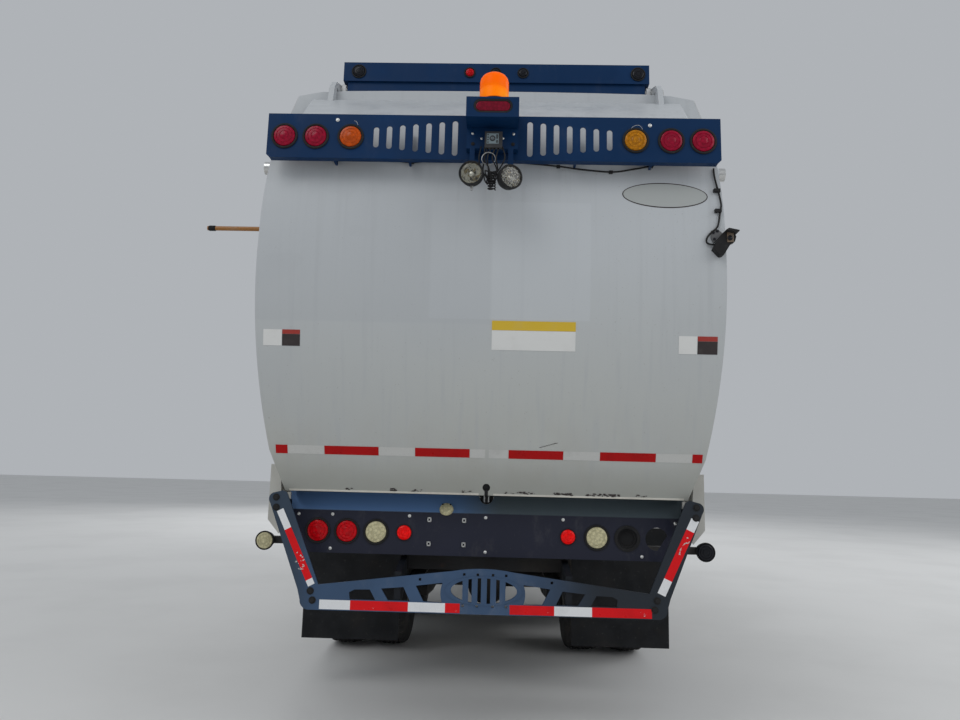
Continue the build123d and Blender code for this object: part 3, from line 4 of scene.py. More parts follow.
import bmesh
import bpy
from mathutils import Matrix, Vector


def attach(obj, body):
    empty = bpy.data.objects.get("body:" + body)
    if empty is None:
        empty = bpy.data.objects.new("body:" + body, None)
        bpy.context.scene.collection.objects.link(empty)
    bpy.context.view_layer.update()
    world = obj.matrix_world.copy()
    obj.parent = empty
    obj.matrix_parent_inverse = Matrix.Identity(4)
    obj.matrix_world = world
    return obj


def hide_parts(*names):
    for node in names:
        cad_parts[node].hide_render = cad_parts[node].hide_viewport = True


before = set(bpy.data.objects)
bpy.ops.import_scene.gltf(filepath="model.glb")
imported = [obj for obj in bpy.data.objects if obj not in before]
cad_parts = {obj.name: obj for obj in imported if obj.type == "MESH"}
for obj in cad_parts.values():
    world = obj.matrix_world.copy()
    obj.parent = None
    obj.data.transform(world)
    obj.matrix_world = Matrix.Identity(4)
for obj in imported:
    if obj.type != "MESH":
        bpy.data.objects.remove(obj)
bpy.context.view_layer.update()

# Metres, the same frame as the CAD: +Y forward, +X the truck's right, +Z up

# Rear face of the truck
GATE_PROFILE = (((-4.44, 1.235), (-4.678, 2.08), (-4.705, 2.5)),
                ((-4.705, 2.5), (-4.689, 2.82), (-4.633, 3.16)))
BAR_Y = -4.79
BAR_LAMP_Z = 2.958
PANEL_Y = -4.33
PANEL_LAMP_Z = 1.035
GUARD_Y = -4.485
ROOF_BAR_Y = -4.05
ROOF_LAMP_Z = 3.7405
TYRE_R = 0.525
TYRE_HALF_W = 0.1395
RIM_R = 0.2863
FRONT_AXLE_Y = 3.55
MID_AXLE_Y = -0.75
REAR_AXLE_Y = -2.1
DUAL_XS = (0.7375, 1.0805)
STEER_X = 1.045
SIDES = (("left", -1), ("right", 1))
BACK = (0, -1, 0)
EVEN = (1.0, 1.0, 1.0)

# Camera, at the photograph's place
CAMERA_AT = Vector((0.05, -8.1, 1.35))
FOCAL_PX = 721.0
PITCH = math.radians(8.83)
ROLL = math.radians(1.43)
YAW = math.radians(1.45)
PHOTO_W = 960.0
SENSOR_MM = 36.0


def make_camera():
    forward = Vector((-math.sin(YAW) * math.cos(PITCH), math.cos(YAW) * math.cos(PITCH), math.sin(PITCH)))
    right0 = Vector((math.cos(YAW), math.sin(YAW), 0.0))
    up0 = right0.cross(forward)
    right = math.cos(ROLL) * right0 + math.sin(ROLL) * up0
    up = -math.sin(ROLL) * right0 + math.cos(ROLL) * up0
    data = bpy.data.cameras.new("photo_camera")
    data.sensor_width = SENSOR_MM
    data.lens = FOCAL_PX / PHOTO_W * SENSOR_MM
    data.clip_end = 200.0
    camera = bpy.data.objects.new("photo_camera", data)
    bpy.context.scene.collection.objects.link(camera)
    turn = Matrix((right, up, -forward)).transposed().to_4x4()
    camera.matrix_world = Matrix.Translation(CAMERA_AT) @ turn
    bpy.context.scene.camera = camera


make_camera()
bpy.context.scene.view_settings.view_transform = "Standard"


# Materials
class Shader:
    """A node material built up in layers over object coordinates in metres."""

    def __init__(self, name, rough, metal=0.0, coat=0.0, coat_rough=0.1, spec=0.5):
        self.mat = bpy.data.materials.new(name)
        self.mat.use_nodes = True
        self.nodes = self.mat.node_tree.nodes
        self.links = self.mat.node_tree.links
        self.bsdf = self.nodes["Principled BSDF"]
        for key, value in (("Roughness", rough), ("Metallic", metal), ("Coat Weight", coat),
                           ("Coat Roughness", coat_rough), ("Specular IOR Level", spec)):
            self.bsdf.inputs[key].default_value = value
        self.coords = self.nodes.new("ShaderNodeTexCoord").outputs["Object"]
        self.color = None

    def node(self, kind, output, inputs, **settings):
        """One output of a new node, whose inputs are constants or outputs of other nodes."""
        node = self.nodes.new("ShaderNode" + kind)
        for key, value in settings.items():
            setattr(node, key, value)
        for key, value in inputs.items():
            if isinstance(value, bpy.types.NodeSocket):
                self.links.new(value, node.inputs[key])
            else:
                node.inputs[key].default_value = value
        return node.outputs[output]

    def place(self, stretch):
        return self.node("Mapping", "Vector", {"Vector": self.coords, "Scale": stretch})

    def noise(self, scale, detail=4.0, stretch=EVEN, rough=0.55):
        inputs = {"Vector": self.place(stretch), "Scale": scale, "Detail": detail, "Roughness": rough}
        return self.node("TexNoise", "Fac", inputs)

    def cells(self, scale, stretch=EVEN, feature="F1"):
        inputs = {"Vector": self.place(stretch), "Scale": scale}
        return self.node("TexVoronoi", "Distance", inputs, feature=feature)

    def axis(self, letter):
        return self.node("SeparateXYZ", letter, {"Vector": self.coords})

    def band(self, value, low, high, bottom=0.0, top=1.0):
        """A smooth step from bottom to top, as the value goes from low to high."""
        inputs = {"Value": value, "From Min": low, "From Max": high, "To Min": bottom, "To Max": top}
        return self.node("MapRange", "Result", inputs, interpolation_type="SMOOTHSTEP")

    def both(self, a, b):
        """The product of two masks."""
        return self.node("Math", "Value", {0: a, 1: b}, operation="MULTIPLY")

    def paint(self, rgb):
        self.color = (*rgb, 1.0)
        self.bsdf.inputs["Base Color"].default_value = self.color
        return self

    def layer(self, rgb, factor):
        """Another colour over what is there, where the factor says."""
        inputs = {"A": self.color, "B": (*rgb, 1.0), "Factor": factor}
        self.color = self.node("Mix", "Result", inputs, data_type="RGBA")
        self.links.new(self.color, self.bsdf.inputs["Base Color"])

    def stain(self, rgb, noise, low, high, top):
        """A layer that shows, as much as top, where a noise goes from low to high."""
        self.layer(rgb, self.band(self.noise(*noise), low, high, 0.0, top))

    def roughness(self, factor, low, high):
        self.links.new(self.band(factor, 0.3, 0.7, low, high), self.bsdf.inputs["Roughness"])

    def bump(self, height, strength, distance):
        """A bump over any bump that is there."""
        normal = self.bsdf.inputs["Normal"]
        inputs = {"Height": height, "Strength": strength, "Distance": distance}
        if normal.links:
            inputs["Normal"] = normal.links[0].from_socket
        self.links.new(self.node("Bump", "Normal", inputs), normal)

    def glow(self, rgb, strength):
        self.bsdf.inputs["Emission Color"].default_value = (*rgb, 1.0)
        self.bsdf.inputs["Emission Strength"].default_value = strength


MUD = (0.19, 0.165, 0.135)
DUST = (0.4, 0.38, 0.34)
RUST = (0.17, 0.06, 0.025)


def tone(rgb, *factors):
    """A colour times one factor, or times one for each channel."""
    return tuple(min(1.0, c * k) for c, k in zip(rgb, factors if len(factors) == 3 else factors * 3))


def white_paint(name, rgb, gate=False):
    """White paint with streaks and grime; the tailgate's also has its faded patches and painted shade towards
    its bottom edge.
    """
    s = Shader(name, 0.42, coat=0.12, coat_rough=0.25, spec=0.4).paint(rgb)
    x, z = s.axis("X"), s.axis("Z")
    darker = tone(rgb, 0.86)
    s.layer(tone(rgb, 0.92, 0.9, 0.82), s.band(z, 2.6, 1.3))
    s.stain(darker, (0.9, 3.0), 0.35, 0.75, 0.55)
    s.stain(tone(rgb, 0.8), (1.0, 6.0, (26.0, 8.0, 0.55)), 0.48, 0.78, 0.5)
    grime = s.both(s.band(z, 1.75, 1.2), s.band(s.noise(5.0, 7.0), 0.3, 0.75))
    s.layer(DUST, s.both(grime, 0.55))
    s.stain(MUD, (120.0, 2.0), 0.68, 0.76, 0.35)
    if gate:
        # Painted shade: darker and warmer grey below the tape, towards the tailgate's bottom edge.
        s.layer(tone(rgb, 0.62, 0.6, 0.52), s.band(z, 1.47, 1.26, 0.0, 0.75))
        inside_x = s.both(s.band(x, -0.3, -0.28), s.band(x, 0.495, 0.485))
        inside_z = s.both(s.band(z, 2.08, 2.085), s.band(z, 2.675, 2.665))
        s.layer(tone(rgb, 1.07), s.both(s.both(inside_x, inside_z), 0.5))
        s.layer(darker, s.both(s.band(z, 2.052, 2.066), s.band(x, 0.02, 0.0, 0.0, 0.45)))
        cloud = s.band(s.noise(3.2, 2.0, (1.0, 1.0, 1.4)), 0.56, 0.6)
        upper_left = s.both(s.band(x, -0.45, -0.6), s.band(z, 2.2, 2.35))
        s.layer(darker, s.both(s.both(cloud, upper_left), 0.25))
    s.roughness(s.noise(7.0, 5.0), 0.3, 0.52)
    s.bump(s.noise(1.6, 2.0), 0.25, 0.012)
    s.bump(s.noise(260.0, 2.0), 0.06, 0.001)
    return s.mat


def dark_paint(name, rgb, dust=0.12, shade_y=None, slope=False, spec=0.25):
    """Dark paint with painted light: given shade_y, near black in painted shade behind it and darker or
    greyer to the sides; on the lamp panel's slope, painted sky light and a blue reflection.
    """
    s = Shader(name, 0.45, spec=spec).paint(rgb)
    x = s.axis("X")
    s.stain(tone(rgb, 1.5), (3.0, 6.0), 0.45, 0.8, 0.5)
    s.stain(DUST, (9.0, 9.0, (1.0, 1.0, 0.5), 0.7), 0.52, 0.86, dust)
    s.stain(DUST, (70.0, 3.0, EVEN, 0.7), 0.66, 0.8, dust)
    if shade_y is not None:
        # Painted light on the guard: painted shade makes its right side darker and greyer, and its far left
        # arm greyer and less blue.
        s.layer((0.02, 0.024, 0.029), s.band(x, 0.05, 0.6, 0.0, 0.95))
        s.layer((0.036, 0.05, 0.068), s.band(x, -0.8, -0.95, 0.0, 0.8))
        # Painted shade: near black for everything behind shade_y, that is behind the guard's plate.
        s.layer((0.008, 0.01, 0.014), s.band(s.axis("Y"), shade_y, shade_y + 0.004))
    if slope:
        # Painted light on the lamp panel's upward sloped face: lighter as if lit by the sky, with a painted
        # blue sky reflection on its left part.
        high = s.band(s.axis("Z"), 1.137, 1.143)
        s.layer((0.1, 0.13, 0.15), high)
        s.layer((0.118, 0.23, 0.46), s.both(high, s.band(x, 0.1, -0.25)))
    s.roughness(s.noise(6.0, 5.0), 0.34, 0.62)
    s.bump(s.noise(180.0, 3.0), 0.12, 0.001)
    return s.mat


def dirty_black(name, rgb, amount=0.5):
    """Black paint with mud and a little rust."""
    s = Shader(name, 0.62).paint(rgb)
    s.stain(MUD, (4.0, 8.0, EVEN, 0.65), 0.42, 0.8, amount)
    s.stain(RUST, (11.0, 6.0), 0.62, 0.8, amount * 0.7)
    s.roughness(s.noise(8.0, 5.0), 0.5, 0.85)
    s.bump(s.noise(40.0, 6.0), 0.25, 0.003)
    return s.mat


def bare_metal(name, rgb, rough, grime=0.3):
    s = Shader(name, rough, metal=1.0).paint(rgb)
    s.stain(tone(rgb, 0.55), (14.0, 7.0), 0.5, 0.8, grime)
    s.roughness(s.noise(30.0, 5.0, (1.0, 1.0, 6.0)), rough * 0.8, rough * 1.5)
    s.bump(s.noise(90.0, 3.0, (8.0, 1.0, 1.0)), 0.08, 0.001)
    return s.mat


def faceted_bowl(name, size, dots):
    """A bright reflector with painted reflections: dark and gold patches, and dark dots."""
    s = Shader(name, 0.25, metal=0.25).paint((0.9, 0.89, 0.82))
    # Painted reflections of the surroundings in the bowl: gold and dark patches, then dark dots.
    s.stain((0.42, 0.31, 0.1), (size * 0.8, 2.0), 0.53, 0.56, 0.9)
    s.stain((0.05, 0.05, 0.04), (size, 2.0, (1.0, 1.0, 0.6)), 0.56, 0.59, 0.95)
    s.layer((0.03, 0.03, 0.03), s.band(s.cells(size * 1.4), 0.46, 0.54, 0.0, dots))
    return s.mat


def rubber_like(name, rgb, dust=0.45, grain=160.0):
    s = Shader(name, 0.78, spec=0.35).paint(rgb)
    s.stain(MUD, (6.0, 8.0, EVEN, 0.65), 0.45, 0.85, dust)
    s.stain(DUST, (45.0, 5.0), 0.58, 0.8, dust * 0.6)
    s.roughness(s.noise(12.0, 4.0), 0.68, 0.9)
    s.bump(s.noise(grain, 4.0), 0.3, 0.001)
    return s.mat


def lens_plastic(name, rgb, rough=0.2, spot=1.6, light=0.0, spec=0.18):
    """A moulded lens: small bright cells over a deeper colour, and a little light where wanted."""
    s = Shader(name, rough, spec=spec).paint(rgb)
    s.layer(tone(rgb, 0.6), s.band(s.cells(60.0), 0.3, 0.6, 0.0, 0.6))
    s.layer(tone(rgb, spot), s.band(s.cells(130.0), 0.3, 0.12, 0.0, 0.55))
    s.stain(DUST, (60.0, 4.0), 0.7, 0.85, 0.2)
    s.bump(s.cells(130.0), 0.12, 0.001)
    if light:
        s.glow(rgb, light)
    return s.mat


def beacon_plastic(name):
    """Amber plastic with painted light: brighter toward its foot and along its lower right."""
    s = Shader(name, 0.3, spec=0.05).paint((0.9, 0.11, 0.001))
    x, z = s.axis("X"), s.axis("Z")
    # Painted light: brighter toward the dome's foot and along its lower right.
    s.layer((0.96, 0.22, 0.003), s.band(z, 3.172, 3.125))
    s.layer((0.97, 0.33, 0.008), s.both(s.band(z, 3.15, 3.11), s.band(x, 0.01, 0.06)))
    s.glow((0.92, 0.15, 0.001), 0.37)
    return s.mat


def plastic(name, rgb, rough=0.55, grain=220.0):
    s = Shader(name, rough).paint(rgb)
    s.stain(DUST, (10.0, 6.0), 0.5, 0.85, 0.22)
    s.roughness(s.noise(20.0, 4.0), rough * 0.8, rough * 1.25)
    s.bump(s.noise(grain, 3.0), 0.2, 0.0008)
    return s.mat


def reflective_tape(name, rgb, wear):
    """Prismatic sheeting: a fine lattice, with scuffs that show the pale backing."""
    s = Shader(name, 0.4, spec=0.2).paint(rgb)
    lattice = s.cells(190.0, EVEN, "DISTANCE_TO_EDGE")
    s.layer(tone(rgb, 1.15), s.band(lattice, 0.02, 0.12, 0.5, 0.0))
    s.stain(tone(rgb, 0.7), (9.0, 5.0), 0.5, 0.75, 0.5)
    s.stain((0.5, 0.5, 0.52), (21.0, 8.0, EVEN, 0.7), 0.665, 0.685, wear)
    s.roughness(s.noise(22.0, 4.0), 0.25, 0.5)
    s.bump(lattice, 0.2, 0.0006)
    return s.mat


def glass_pane(name, tint):
    s = Shader(name, 0.03).paint(tint)
    s.bsdf.inputs["Transmission Weight"].default_value = 1.0
    s.bsdf.inputs["IOR"].default_value = 1.45
    s.stain(DUST, (9.0, 7.0), 0.6, 0.9, 0.15)
    s.roughness(s.noise(14.0, 5.0), 0.02, 0.08)
    return s.mat


def vinyl(name, rgb):
    s = Shader(name, 0.5, coat=0.1, coat_rough=0.4).paint(rgb)
    s.stain(tone(rgb, 1.8), (8.0, 5.0), 0.45, 0.8, 0.5)
    s.roughness(s.noise(18.0, 4.0), 0.42, 0.66)
    s.bump(s.cells(420.0), 0.35, 0.0008)
    return s.mat


# The tailgate's white is a darker, bluer copy of the body's white: painted shade and painted sky reflection.
M_GATE = white_paint("gate_white", (0.535, 0.56, 0.58), gate=True)
M_BODY = white_paint("body_white", (0.61, 0.615, 0.615))
M_CAB = white_paint("cab_white", (0.66, 0.665, 0.665))
# A brighter copy of the white paint for the tailgate's bottom lip: painted highlight along its edge.
M_LIP_HIGHLIGHT = white_paint("lip_highlight_white", (0.8, 0.79, 0.75))
M_CHARCOAL = dark_paint("charcoal_paint", (0.018, 0.02, 0.036), slope=True)
M_NAVY = dark_paint("navy_paint", (0.003, 0.027, 0.088), 0.05, spec=0.14)
M_GUARD = dark_paint("guard_paint", (0.046, 0.086, 0.16), 0.2, shade_y=-4.4775)
M_CHASSIS = dirty_black("chassis_black", (0.01, 0.01, 0.011), 0.3)
M_ARM = dirty_black("arm_black", (0.03, 0.031, 0.034), 0.35)
M_ENGINE = dirty_black("engine_grey", (0.1, 0.1, 0.105), 0.7)
M_WHEEL = white_paint("wheel_white", (0.52, 0.52, 0.51))
M_STEEL = bare_metal("bright_steel", (0.62, 0.62, 0.61), 0.28)
M_BOLT = bare_metal("bolt_steel", (0.42, 0.42, 0.41), 0.42, 0.6)
M_TANK = bare_metal("tank_metal", (0.6, 0.61, 0.62), 0.34)
M_TYRE = rubber_like("tyre_rubber", (0.022, 0.022, 0.023))
M_FLAP = rubber_like("flap_rubber", (0.008, 0.009, 0.011), 0.12, 60.0)
M_GROMMET = rubber_like("grommet_rubber", (0.012, 0.012, 0.013), 0.12)
M_RED = lens_plastic("lens_red", (0.62, 0.003, 0.008))
M_CRIMSON = lens_plastic("lens_crimson", (0.34, 0.004, 0.03))
M_AMBER = lens_plastic("lens_amber", (0.58, 0.085, 0.006))
M_YELLOW = lens_plastic("lens_yellow", (0.5, 0.19, 0.006), spot=2.2)
M_CLEAR = lens_plastic("lens_clear", (0.66, 0.61, 0.38), spot=1.5)
M_SMOKE = lens_plastic("lens_smoke", (0.016, 0.017, 0.022))
M_BOWL = faceted_bowl("lamp_bowl", 46.0, 0.25)
M_FINE_BOWL = faceted_bowl("lamp_bowl_fine", 105.0, 0.9)
M_MIRROR = bare_metal("reflector", (0.9, 0.9, 0.86), 0.08, 0.1)
M_DARK_RED = lens_plastic("lens_dark_red", (0.2, 0.004, 0.02))
M_BEACON = beacon_plastic("beacon_amber")
M_RED_LIT = lens_plastic("lens_red_lit", (0.85, 0.006, 0.006), light=0.15)
M_SCREW = bare_metal("screw_bright", (0.75, 0.75, 0.73), 0.35, 0.2)
M_BADGE = plastic("badge_silver", (0.42, 0.44, 0.43), 0.35)
M_PANE = plastic("camera_pane", (0.17, 0.22, 0.24), 0.2)
M_LENS_GLASS = plastic("camera_lens", (0.1, 0.12, 0.13), 0.08)
M_PLASTIC = plastic("dark_plastic", (0.02, 0.02, 0.022))
M_GREY_PLASTIC = plastic("grey_plastic", (0.12, 0.12, 0.125))
M_ROD = plastic("rod_brown", (0.36, 0.15, 0.03), 0.4)
M_BROWN = plastic("camera_brown", (0.17, 0.12, 0.08), 0.4)
M_GLASS = glass_pane("cab_glass", (0.8, 0.88, 0.86))
M_CLEAR_GLASS = glass_pane("lamp_glass", (0.96, 0.96, 0.92))
M_VINYL = vinyl("seat_vinyl", (0.03, 0.031, 0.034))
M_TAPE_RED = reflective_tape("tape_red", (0.42, 0.001, 0.002), 0.0)
M_TAPE_WHITE = reflective_tape("tape_white", (0.55, 0.55, 0.53), 0.0)
M_WORN_RED = reflective_tape("worn_tape_red", (0.72, 0.006, 0.01), 1.0)
M_WORN_WHITE = reflective_tape("worn_tape_white", (0.78, 0.79, 0.8), 0.6)
M_DECAL_WHITE = plastic("decal_white", (0.74, 0.74, 0.72), 0.4)
M_DECAL_YELLOW = plastic("decal_yellow", (0.7, 0.47, 0.03), 0.4)
M_DECAL_DARK = plastic("decal_dark", (0.03, 0.02, 0.02), 0.4)
M_DECAL_RED = plastic("decal_red", (0.36, 0.03, 0.02), 0.4)


# Geometry helpers
def join_rings(rings, closed=False):
    """Faces between rings of vertex numbers, where a ring of one number is a tip."""
    steps = max(len(ring) for ring in rings)
    faces = []
    for low, high in list(zip(rings, rings[1:])) + [(rings[-1], rings[0])] * closed:
        for k in range(steps):
            n = (k + 1) % steps
            corners = low[k % len(low)], low[n % len(low)], high[n % len(high)], high[k % len(high)]
            faces.append(tuple(dict.fromkeys(corners)))
    return faces


def ring_numbers(count, steps):
    """The vertex numbers of equal rings that follow each other."""
    return [list(range(k * steps, (k + 1) * steps)) for k in range(count)]


class Form:
    """Closed shapes gathered into one mesh."""

    def __init__(self):
        self.verts = []
        self.faces = []

    def add(self, verts, faces):
        start = len(self.verts)
        self.verts.extend(tuple(v) for v in verts)
        self.faces.extend(tuple(i + start for i in f) for f in faces)
        return self

    def block(self, x0, x1, y0, y1, z0, z1):
        corners = [(x, y, z) for x in (x0, x1) for y in (y0, y1) for z in (z0, z1)]
        faces = ((0, 1, 3, 2), (4, 6, 7, 5), (0, 4, 5, 1), (2, 3, 7, 6), (0, 2, 6, 4), (1, 5, 7, 3))
        return self.add(corners, faces)

    def lathe(self, centre, axis, profile, steps=48, closed=False):
        """A line of (along, radius) points turned about an axis, as a closed loop or with flat ends."""
        profile = list(profile)
        if not closed:
            first, last = ([(end[0], 0.0)] if end[1] else [] for end in (profile[0], profile[-1]))
            profile = first + profile + last
        axis = Vector(axis).normalized()
        side = axis.orthogonal().normalized()
        other = axis.cross(side)
        rings = []
        verts = []
        for along, radius in profile:
            at = Vector(centre) + axis * along
            count = steps if radius >= 1e-6 else 1
            rings.append(list(range(len(verts), len(verts) + count)))
            for k in range(count):
                a = 2 * math.pi * k / steps
                verts.append(at + radius * (math.cos(a) * side + math.sin(a) * other))
        return self.add(verts, join_rings(rings, closed))

    def tube(self, points, radius, steps=10):
        """A round bar along points, closed at both ends."""
        pts = [Vector(p) for p in points]
        verts = []
        normal = (pts[1] - pts[0]).orthogonal().normalized()
        for i, p in enumerate(pts):
            ahead = pts[min(i + 1, len(pts) - 1)] - pts[max(i - 1, 0)]
            tangent = ahead.normalized()
            normal = (normal - tangent * normal.dot(tangent)).normalized()
            other = tangent.cross(normal)
            for k in range(steps):
                a = 2 * math.pi * k / steps
                verts.append(p + radius * (math.cos(a) * normal + math.sin(a) * other))
        rings = ring_numbers(len(pts), steps)
        return self.add(verts, [rings[0][::-1], rings[-1]] + join_rings(rings))

    def prism(self, outline, place):
        """An outline put in space by place(u, v, d), where d is 0 in front and 1 at the back."""
        count = len(outline)
        verts = [place(u, v, d) for d in (0.0, 1.0) for u, v in outline]
        faces = [tuple(range(count)), tuple(reversed(range(count, 2 * count)))]
        for k in range(count):
            n = (k + 1) % count
            faces.append((k, k + count, n + count, n))
        return self.add(verts, faces)

    def upright(self, y0, y1, outline):
        """A plate with an (x, z) outline, between two y values."""
        return self.prism(outline, lambda u, v, d: (u, y0 + d * (y1 - y0), v))

    def make(self, name, mat, slot, body, replaces=(), smooth=35.0, bevel=0.0):
        """The mesh as an object that rides on a body and takes the place of CAD nodes."""
        mesh = bpy.data.meshes.new(name)
        mesh.from_pydata(self.verts, [], self.faces)
        work = bmesh.new()
        work.from_mesh(mesh)
        bmesh.ops.recalc_face_normals(work, faces=work.faces)
        work.to_mesh(mesh)
        work.free()
        mesh.materials.append(mat)
        obj = bpy.data.objects.new(name, mesh)
        bpy.context.scene.collection.objects.link(obj)
        if bevel:
            mod = obj.modifiers.new("edges", "BEVEL")
            mod.width = bevel
            mod.segments = 2
            mod.limit_method = "ANGLE"
            mod.angle_limit = math.radians(40.0)
        if smooth:
            mesh.shade_smooth()
            mesh.set_sharp_from_angle(angle=math.radians(smooth))
        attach(obj, body)
        if replaces:
            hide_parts(*replaces)
        return obj


def arc_point(three, z):
    """The y of a side view arc through three (y, z) points at height z."""
    (ay, az), (by, bz), (cy, cz) = three
    d = 2 * (ay * (bz - cz) + by * (cz - az) + cy * (az - bz))
    a2, b2, c2 = ay * ay + az * az, by * by + bz * bz, cy * cy + cz * cz
    uy = (a2 * (bz - cz) + b2 * (cz - az) + c2 * (az - bz)) / d
    uz = (a2 * (cy - by) + b2 * (ay - cy) + c2 * (by - ay)) / d
    radius = math.hypot(ay - uy, az - uz)
    return uy - math.sqrt(max(0.0, radius * radius - (z - uz) ** 2))


def gate_y(z):
    """The tailgate's outer face at height z."""
    low, high = GATE_PROFILE
    return arc_point(low if z <= low[2][1] else high, z)


def gate_patch(form, x0, x1, z0, z1, thick=0.0008, rows=6):
    """A thin patch that lies on the tailgate's curve."""
    heights = [z0 + (z1 - z0) * k / rows for k in range(rows + 1)]
    loop = [(gate_y(z) - thick, z) for z in heights] + [(gate_y(z) + 0.0005, z) for z in heights[::-1]]
    count = len(loop)
    faces = []
    for k in range(rows):
        a, b, c, d = k, k + 1, count - 2 - k, count - 1 - k
        faces += [(a, b, c, d), (a + count, d + count, c + count, b + count)]
    for k in range(count):
        n = (k + 1) % count
        faces.append((k, k + count, n + count, n))
    return form.add([(x, y, z) for x in (x0, x1) for y, z in loop], faces)


# CAD nodes keep their shape and take these finishes
FINISHES = {
    M_GATE: ("tailgate",),
    M_BODY: ("load_body", "hopper", "gate_cylinder_left", "gate_cylinder_right"),
    M_CAB: ("cab_shell", "door_left", "door_right"),
    M_CHARCOAL: ("lamp_panel",),
    M_NAVY: ("roof_bar", "tailgate_light_bar", "camera_box"),
    M_GUARD: ("underride_guard",),
    M_CHASSIS: ("chassis_frame", "axles", "suspension", "knuckle_left", "knuckle_right", "front_bumper"),
    M_ARM: ("arm_guide", "reach_beam_outer", "reach_beam_mast", "lift_arm", "finger_front", "finger_rear",
            "packer"),
    M_ENGINE: ("engine_block",),
    M_WHEEL: tuple(f"wheel_{row}_{name}" for row in ("front", "mid", "rear") for name, _ in SIDES),
    M_STEEL: ("gate_ram_left", "gate_ram_right", "exhaust_stack"),
    M_TANK: ("tanks",),
    M_FLAP: ("mudflaps",),
    M_PLASTIC: ("grille", "dash", "mirrors", "edge_camera"),
    M_ROD: ("side_rod",),
    M_CLEAR: ("headlamps",),
    M_GLASS: ("cab_glass", "door_glass_left", "door_glass_right"),
}
for finish, names in FINISHES.items():
    for name in names:
        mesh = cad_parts[name].data
        mesh.materials.clear()
        mesh.materials.append(finish)


# Stage: each lamp's name, place, aim, width and watts
FLOOR_HALF = 60.0
STUDIO = (("key", (-7.0, -13.0, 12.0), (0.0, -4.0, 2.0), 8.0, 480.0),
          ("fill", (9.0, -10.0, 7.0), (0.0, -3.0, 1.5), 7.0, 240.0),
          ("front", (-3.0, 14.0, 10.0), (0.0, 2.0, 1.5), 8.0, 700.0),
          ("side", (14.0, 2.0, 8.0), (0.0, 0.0, 1.5), 8.0, 450.0))


def make_stage():
    """A pale floor, soft lamps and a pale sky."""
    scene = bpy.context.scene
    world = bpy.data.worlds.new("studio")
    scene.world = world
    world.use_nodes = True
    background = world.node_tree.nodes["Background"]
    background.inputs["Color"].default_value = (0.86, 0.9, 0.95, 1.0)
    background.inputs["Strength"].default_value = 0.5
    s = Shader("floor_pale", 0.85).paint((0.7, 0.7, 0.69))
    s.stain((0.62, 0.62, 0.61), (0.6, 4.0), 0.4, 0.7, 0.5)
    mesh = bpy.data.meshes.new("floor")
    corners = [(x * FLOOR_HALF, y * FLOOR_HALF, 0) for x, y in ((-1, -1), (1, -1), (1, 1), (-1, 1))]
    mesh.from_pydata(corners, [], [(0, 1, 2, 3)])
    mesh.materials.append(s.mat)
    floor = bpy.data.objects.new("floor", mesh)
    scene.collection.objects.link(floor)
    for name, at, to, width, watts in STUDIO:
        data = bpy.data.lights.new(name, "AREA")
        data.size = width
        data.energy = watts
        light = bpy.data.objects.new(name, data)
        light.location = at
        light.rotation_euler = (Vector(to) - Vector(at)).to_track_quat("-Z", "Y").to_euler()
        scene.collection.objects.link(light)


make_stage()


# Reflective tape: each strip is its first colour and its edges, where the colour changes
def lengths(strips, colour):
    """The start and end of every length that has the colour."""
    for first, edges in strips:
        start = 0 if colour == first else 1
        yield from list(zip(edges, edges[1:]))[start::2]


# Tape on the tailgate
TAPE_Z = (1.4185, 1.46)
GATE_TAPE = (("red", (-1.043, -0.983, -0.8, -0.53, -0.35, -0.08, -0.004)),
             ("white", (0.014, 0.111, 0.38, 0.559, 0.832, 1.009, 1.059)))
for colour, finish in (("red", M_TAPE_RED), ("white", M_TAPE_WHITE)):
    strip = Form()
    for x0, x1 in lengths(GATE_TAPE, colour):
        gate_patch(strip, x0 + 0.0005, x1 - 0.0005, *TAPE_Z)
    strip.make(f"gate_tape_{colour}", finish, f"tape_{colour}", "tailgate", smooth=0)

# Blank sign and blank decals on the tailgate, a painted highlight along its lip and painted shade in its
# keyhole
DECALS = (
    ("gate_sign_white", M_DECAL_WHITE, "tape_white", ((0.017, 0.422, 1.936, 2.03),)),
    ("gate_sign_yellow", M_DECAL_YELLOW, "lens_amber", ((0.017, 0.422, 2.031, 2.076),)),
    ("gate_decal_white", M_DECAL_WHITE, "tape_white",
     ((-1.098, -1.007, 1.936, 2.014), (0.918, 1.006, 1.935, 2.02))),
    ("gate_decal_dark", M_DECAL_DARK, "dark_plastic",
     ((-1.005, -0.918, 1.936, 1.992), (1.008, 1.103, 1.935, 1.996))),
    ("gate_decal_red", M_DECAL_RED, "tape_red",
     ((-1.005, -0.918, 1.993, 2.014), (1.008, 1.103, 1.997, 2.02))),
    # Painted highlight: the lip in the brighter white.
    ("gate_lip_highlight", M_LIP_HIGHLIGHT, "body_white", ((-0.985, -0.033, 1.2355, 1.245), (0.04, 0.985, 1.2355, 1.245))),
    # Painted shade: a dark patch where the keyhole's slot opens under the lip.
    ("keyhole_stem_shade", M_GROMMET, "dark_plastic", ((-0.0035, 0.0135, 1.2355, 1.262),)),
)
for name, finish, slot, patches in DECALS:
    form = Form()
    for x0, x1, z0, z1 in patches:
        gate_patch(form, x0, x1, z0, z1, 0.0012)
    form.make(name, finish, slot, "tailgate", smooth=0)


# Tape on the guard's crossbar and arms
def flat_strip(form, y, corners, thick=0.0009):
    form.prism(corners, lambda u, v, d: (u, y - thick + d * (thick + 0.0006), v))


def quad_between(a, b, c, d, t0, t1):
    """Part of a quad whose sides run from a to b and from c to d."""
    def mix(p, q, t):
        return (p[0] + (q[0] - p[0]) * t, p[1] + (q[1] - p[1]) * t)
    return [mix(a, b, t0), mix(a, b, t1), mix(c, d, t1), mix(c, d, t0)]


CROSSBAR_Z = (0.6765, 0.7205)
CROSSBAR_TAPE = (("white", (-0.791, -0.641, -0.36, -0.181, -0.11)), ("red", (0.131, 0.345, 0.526, 0.812)))
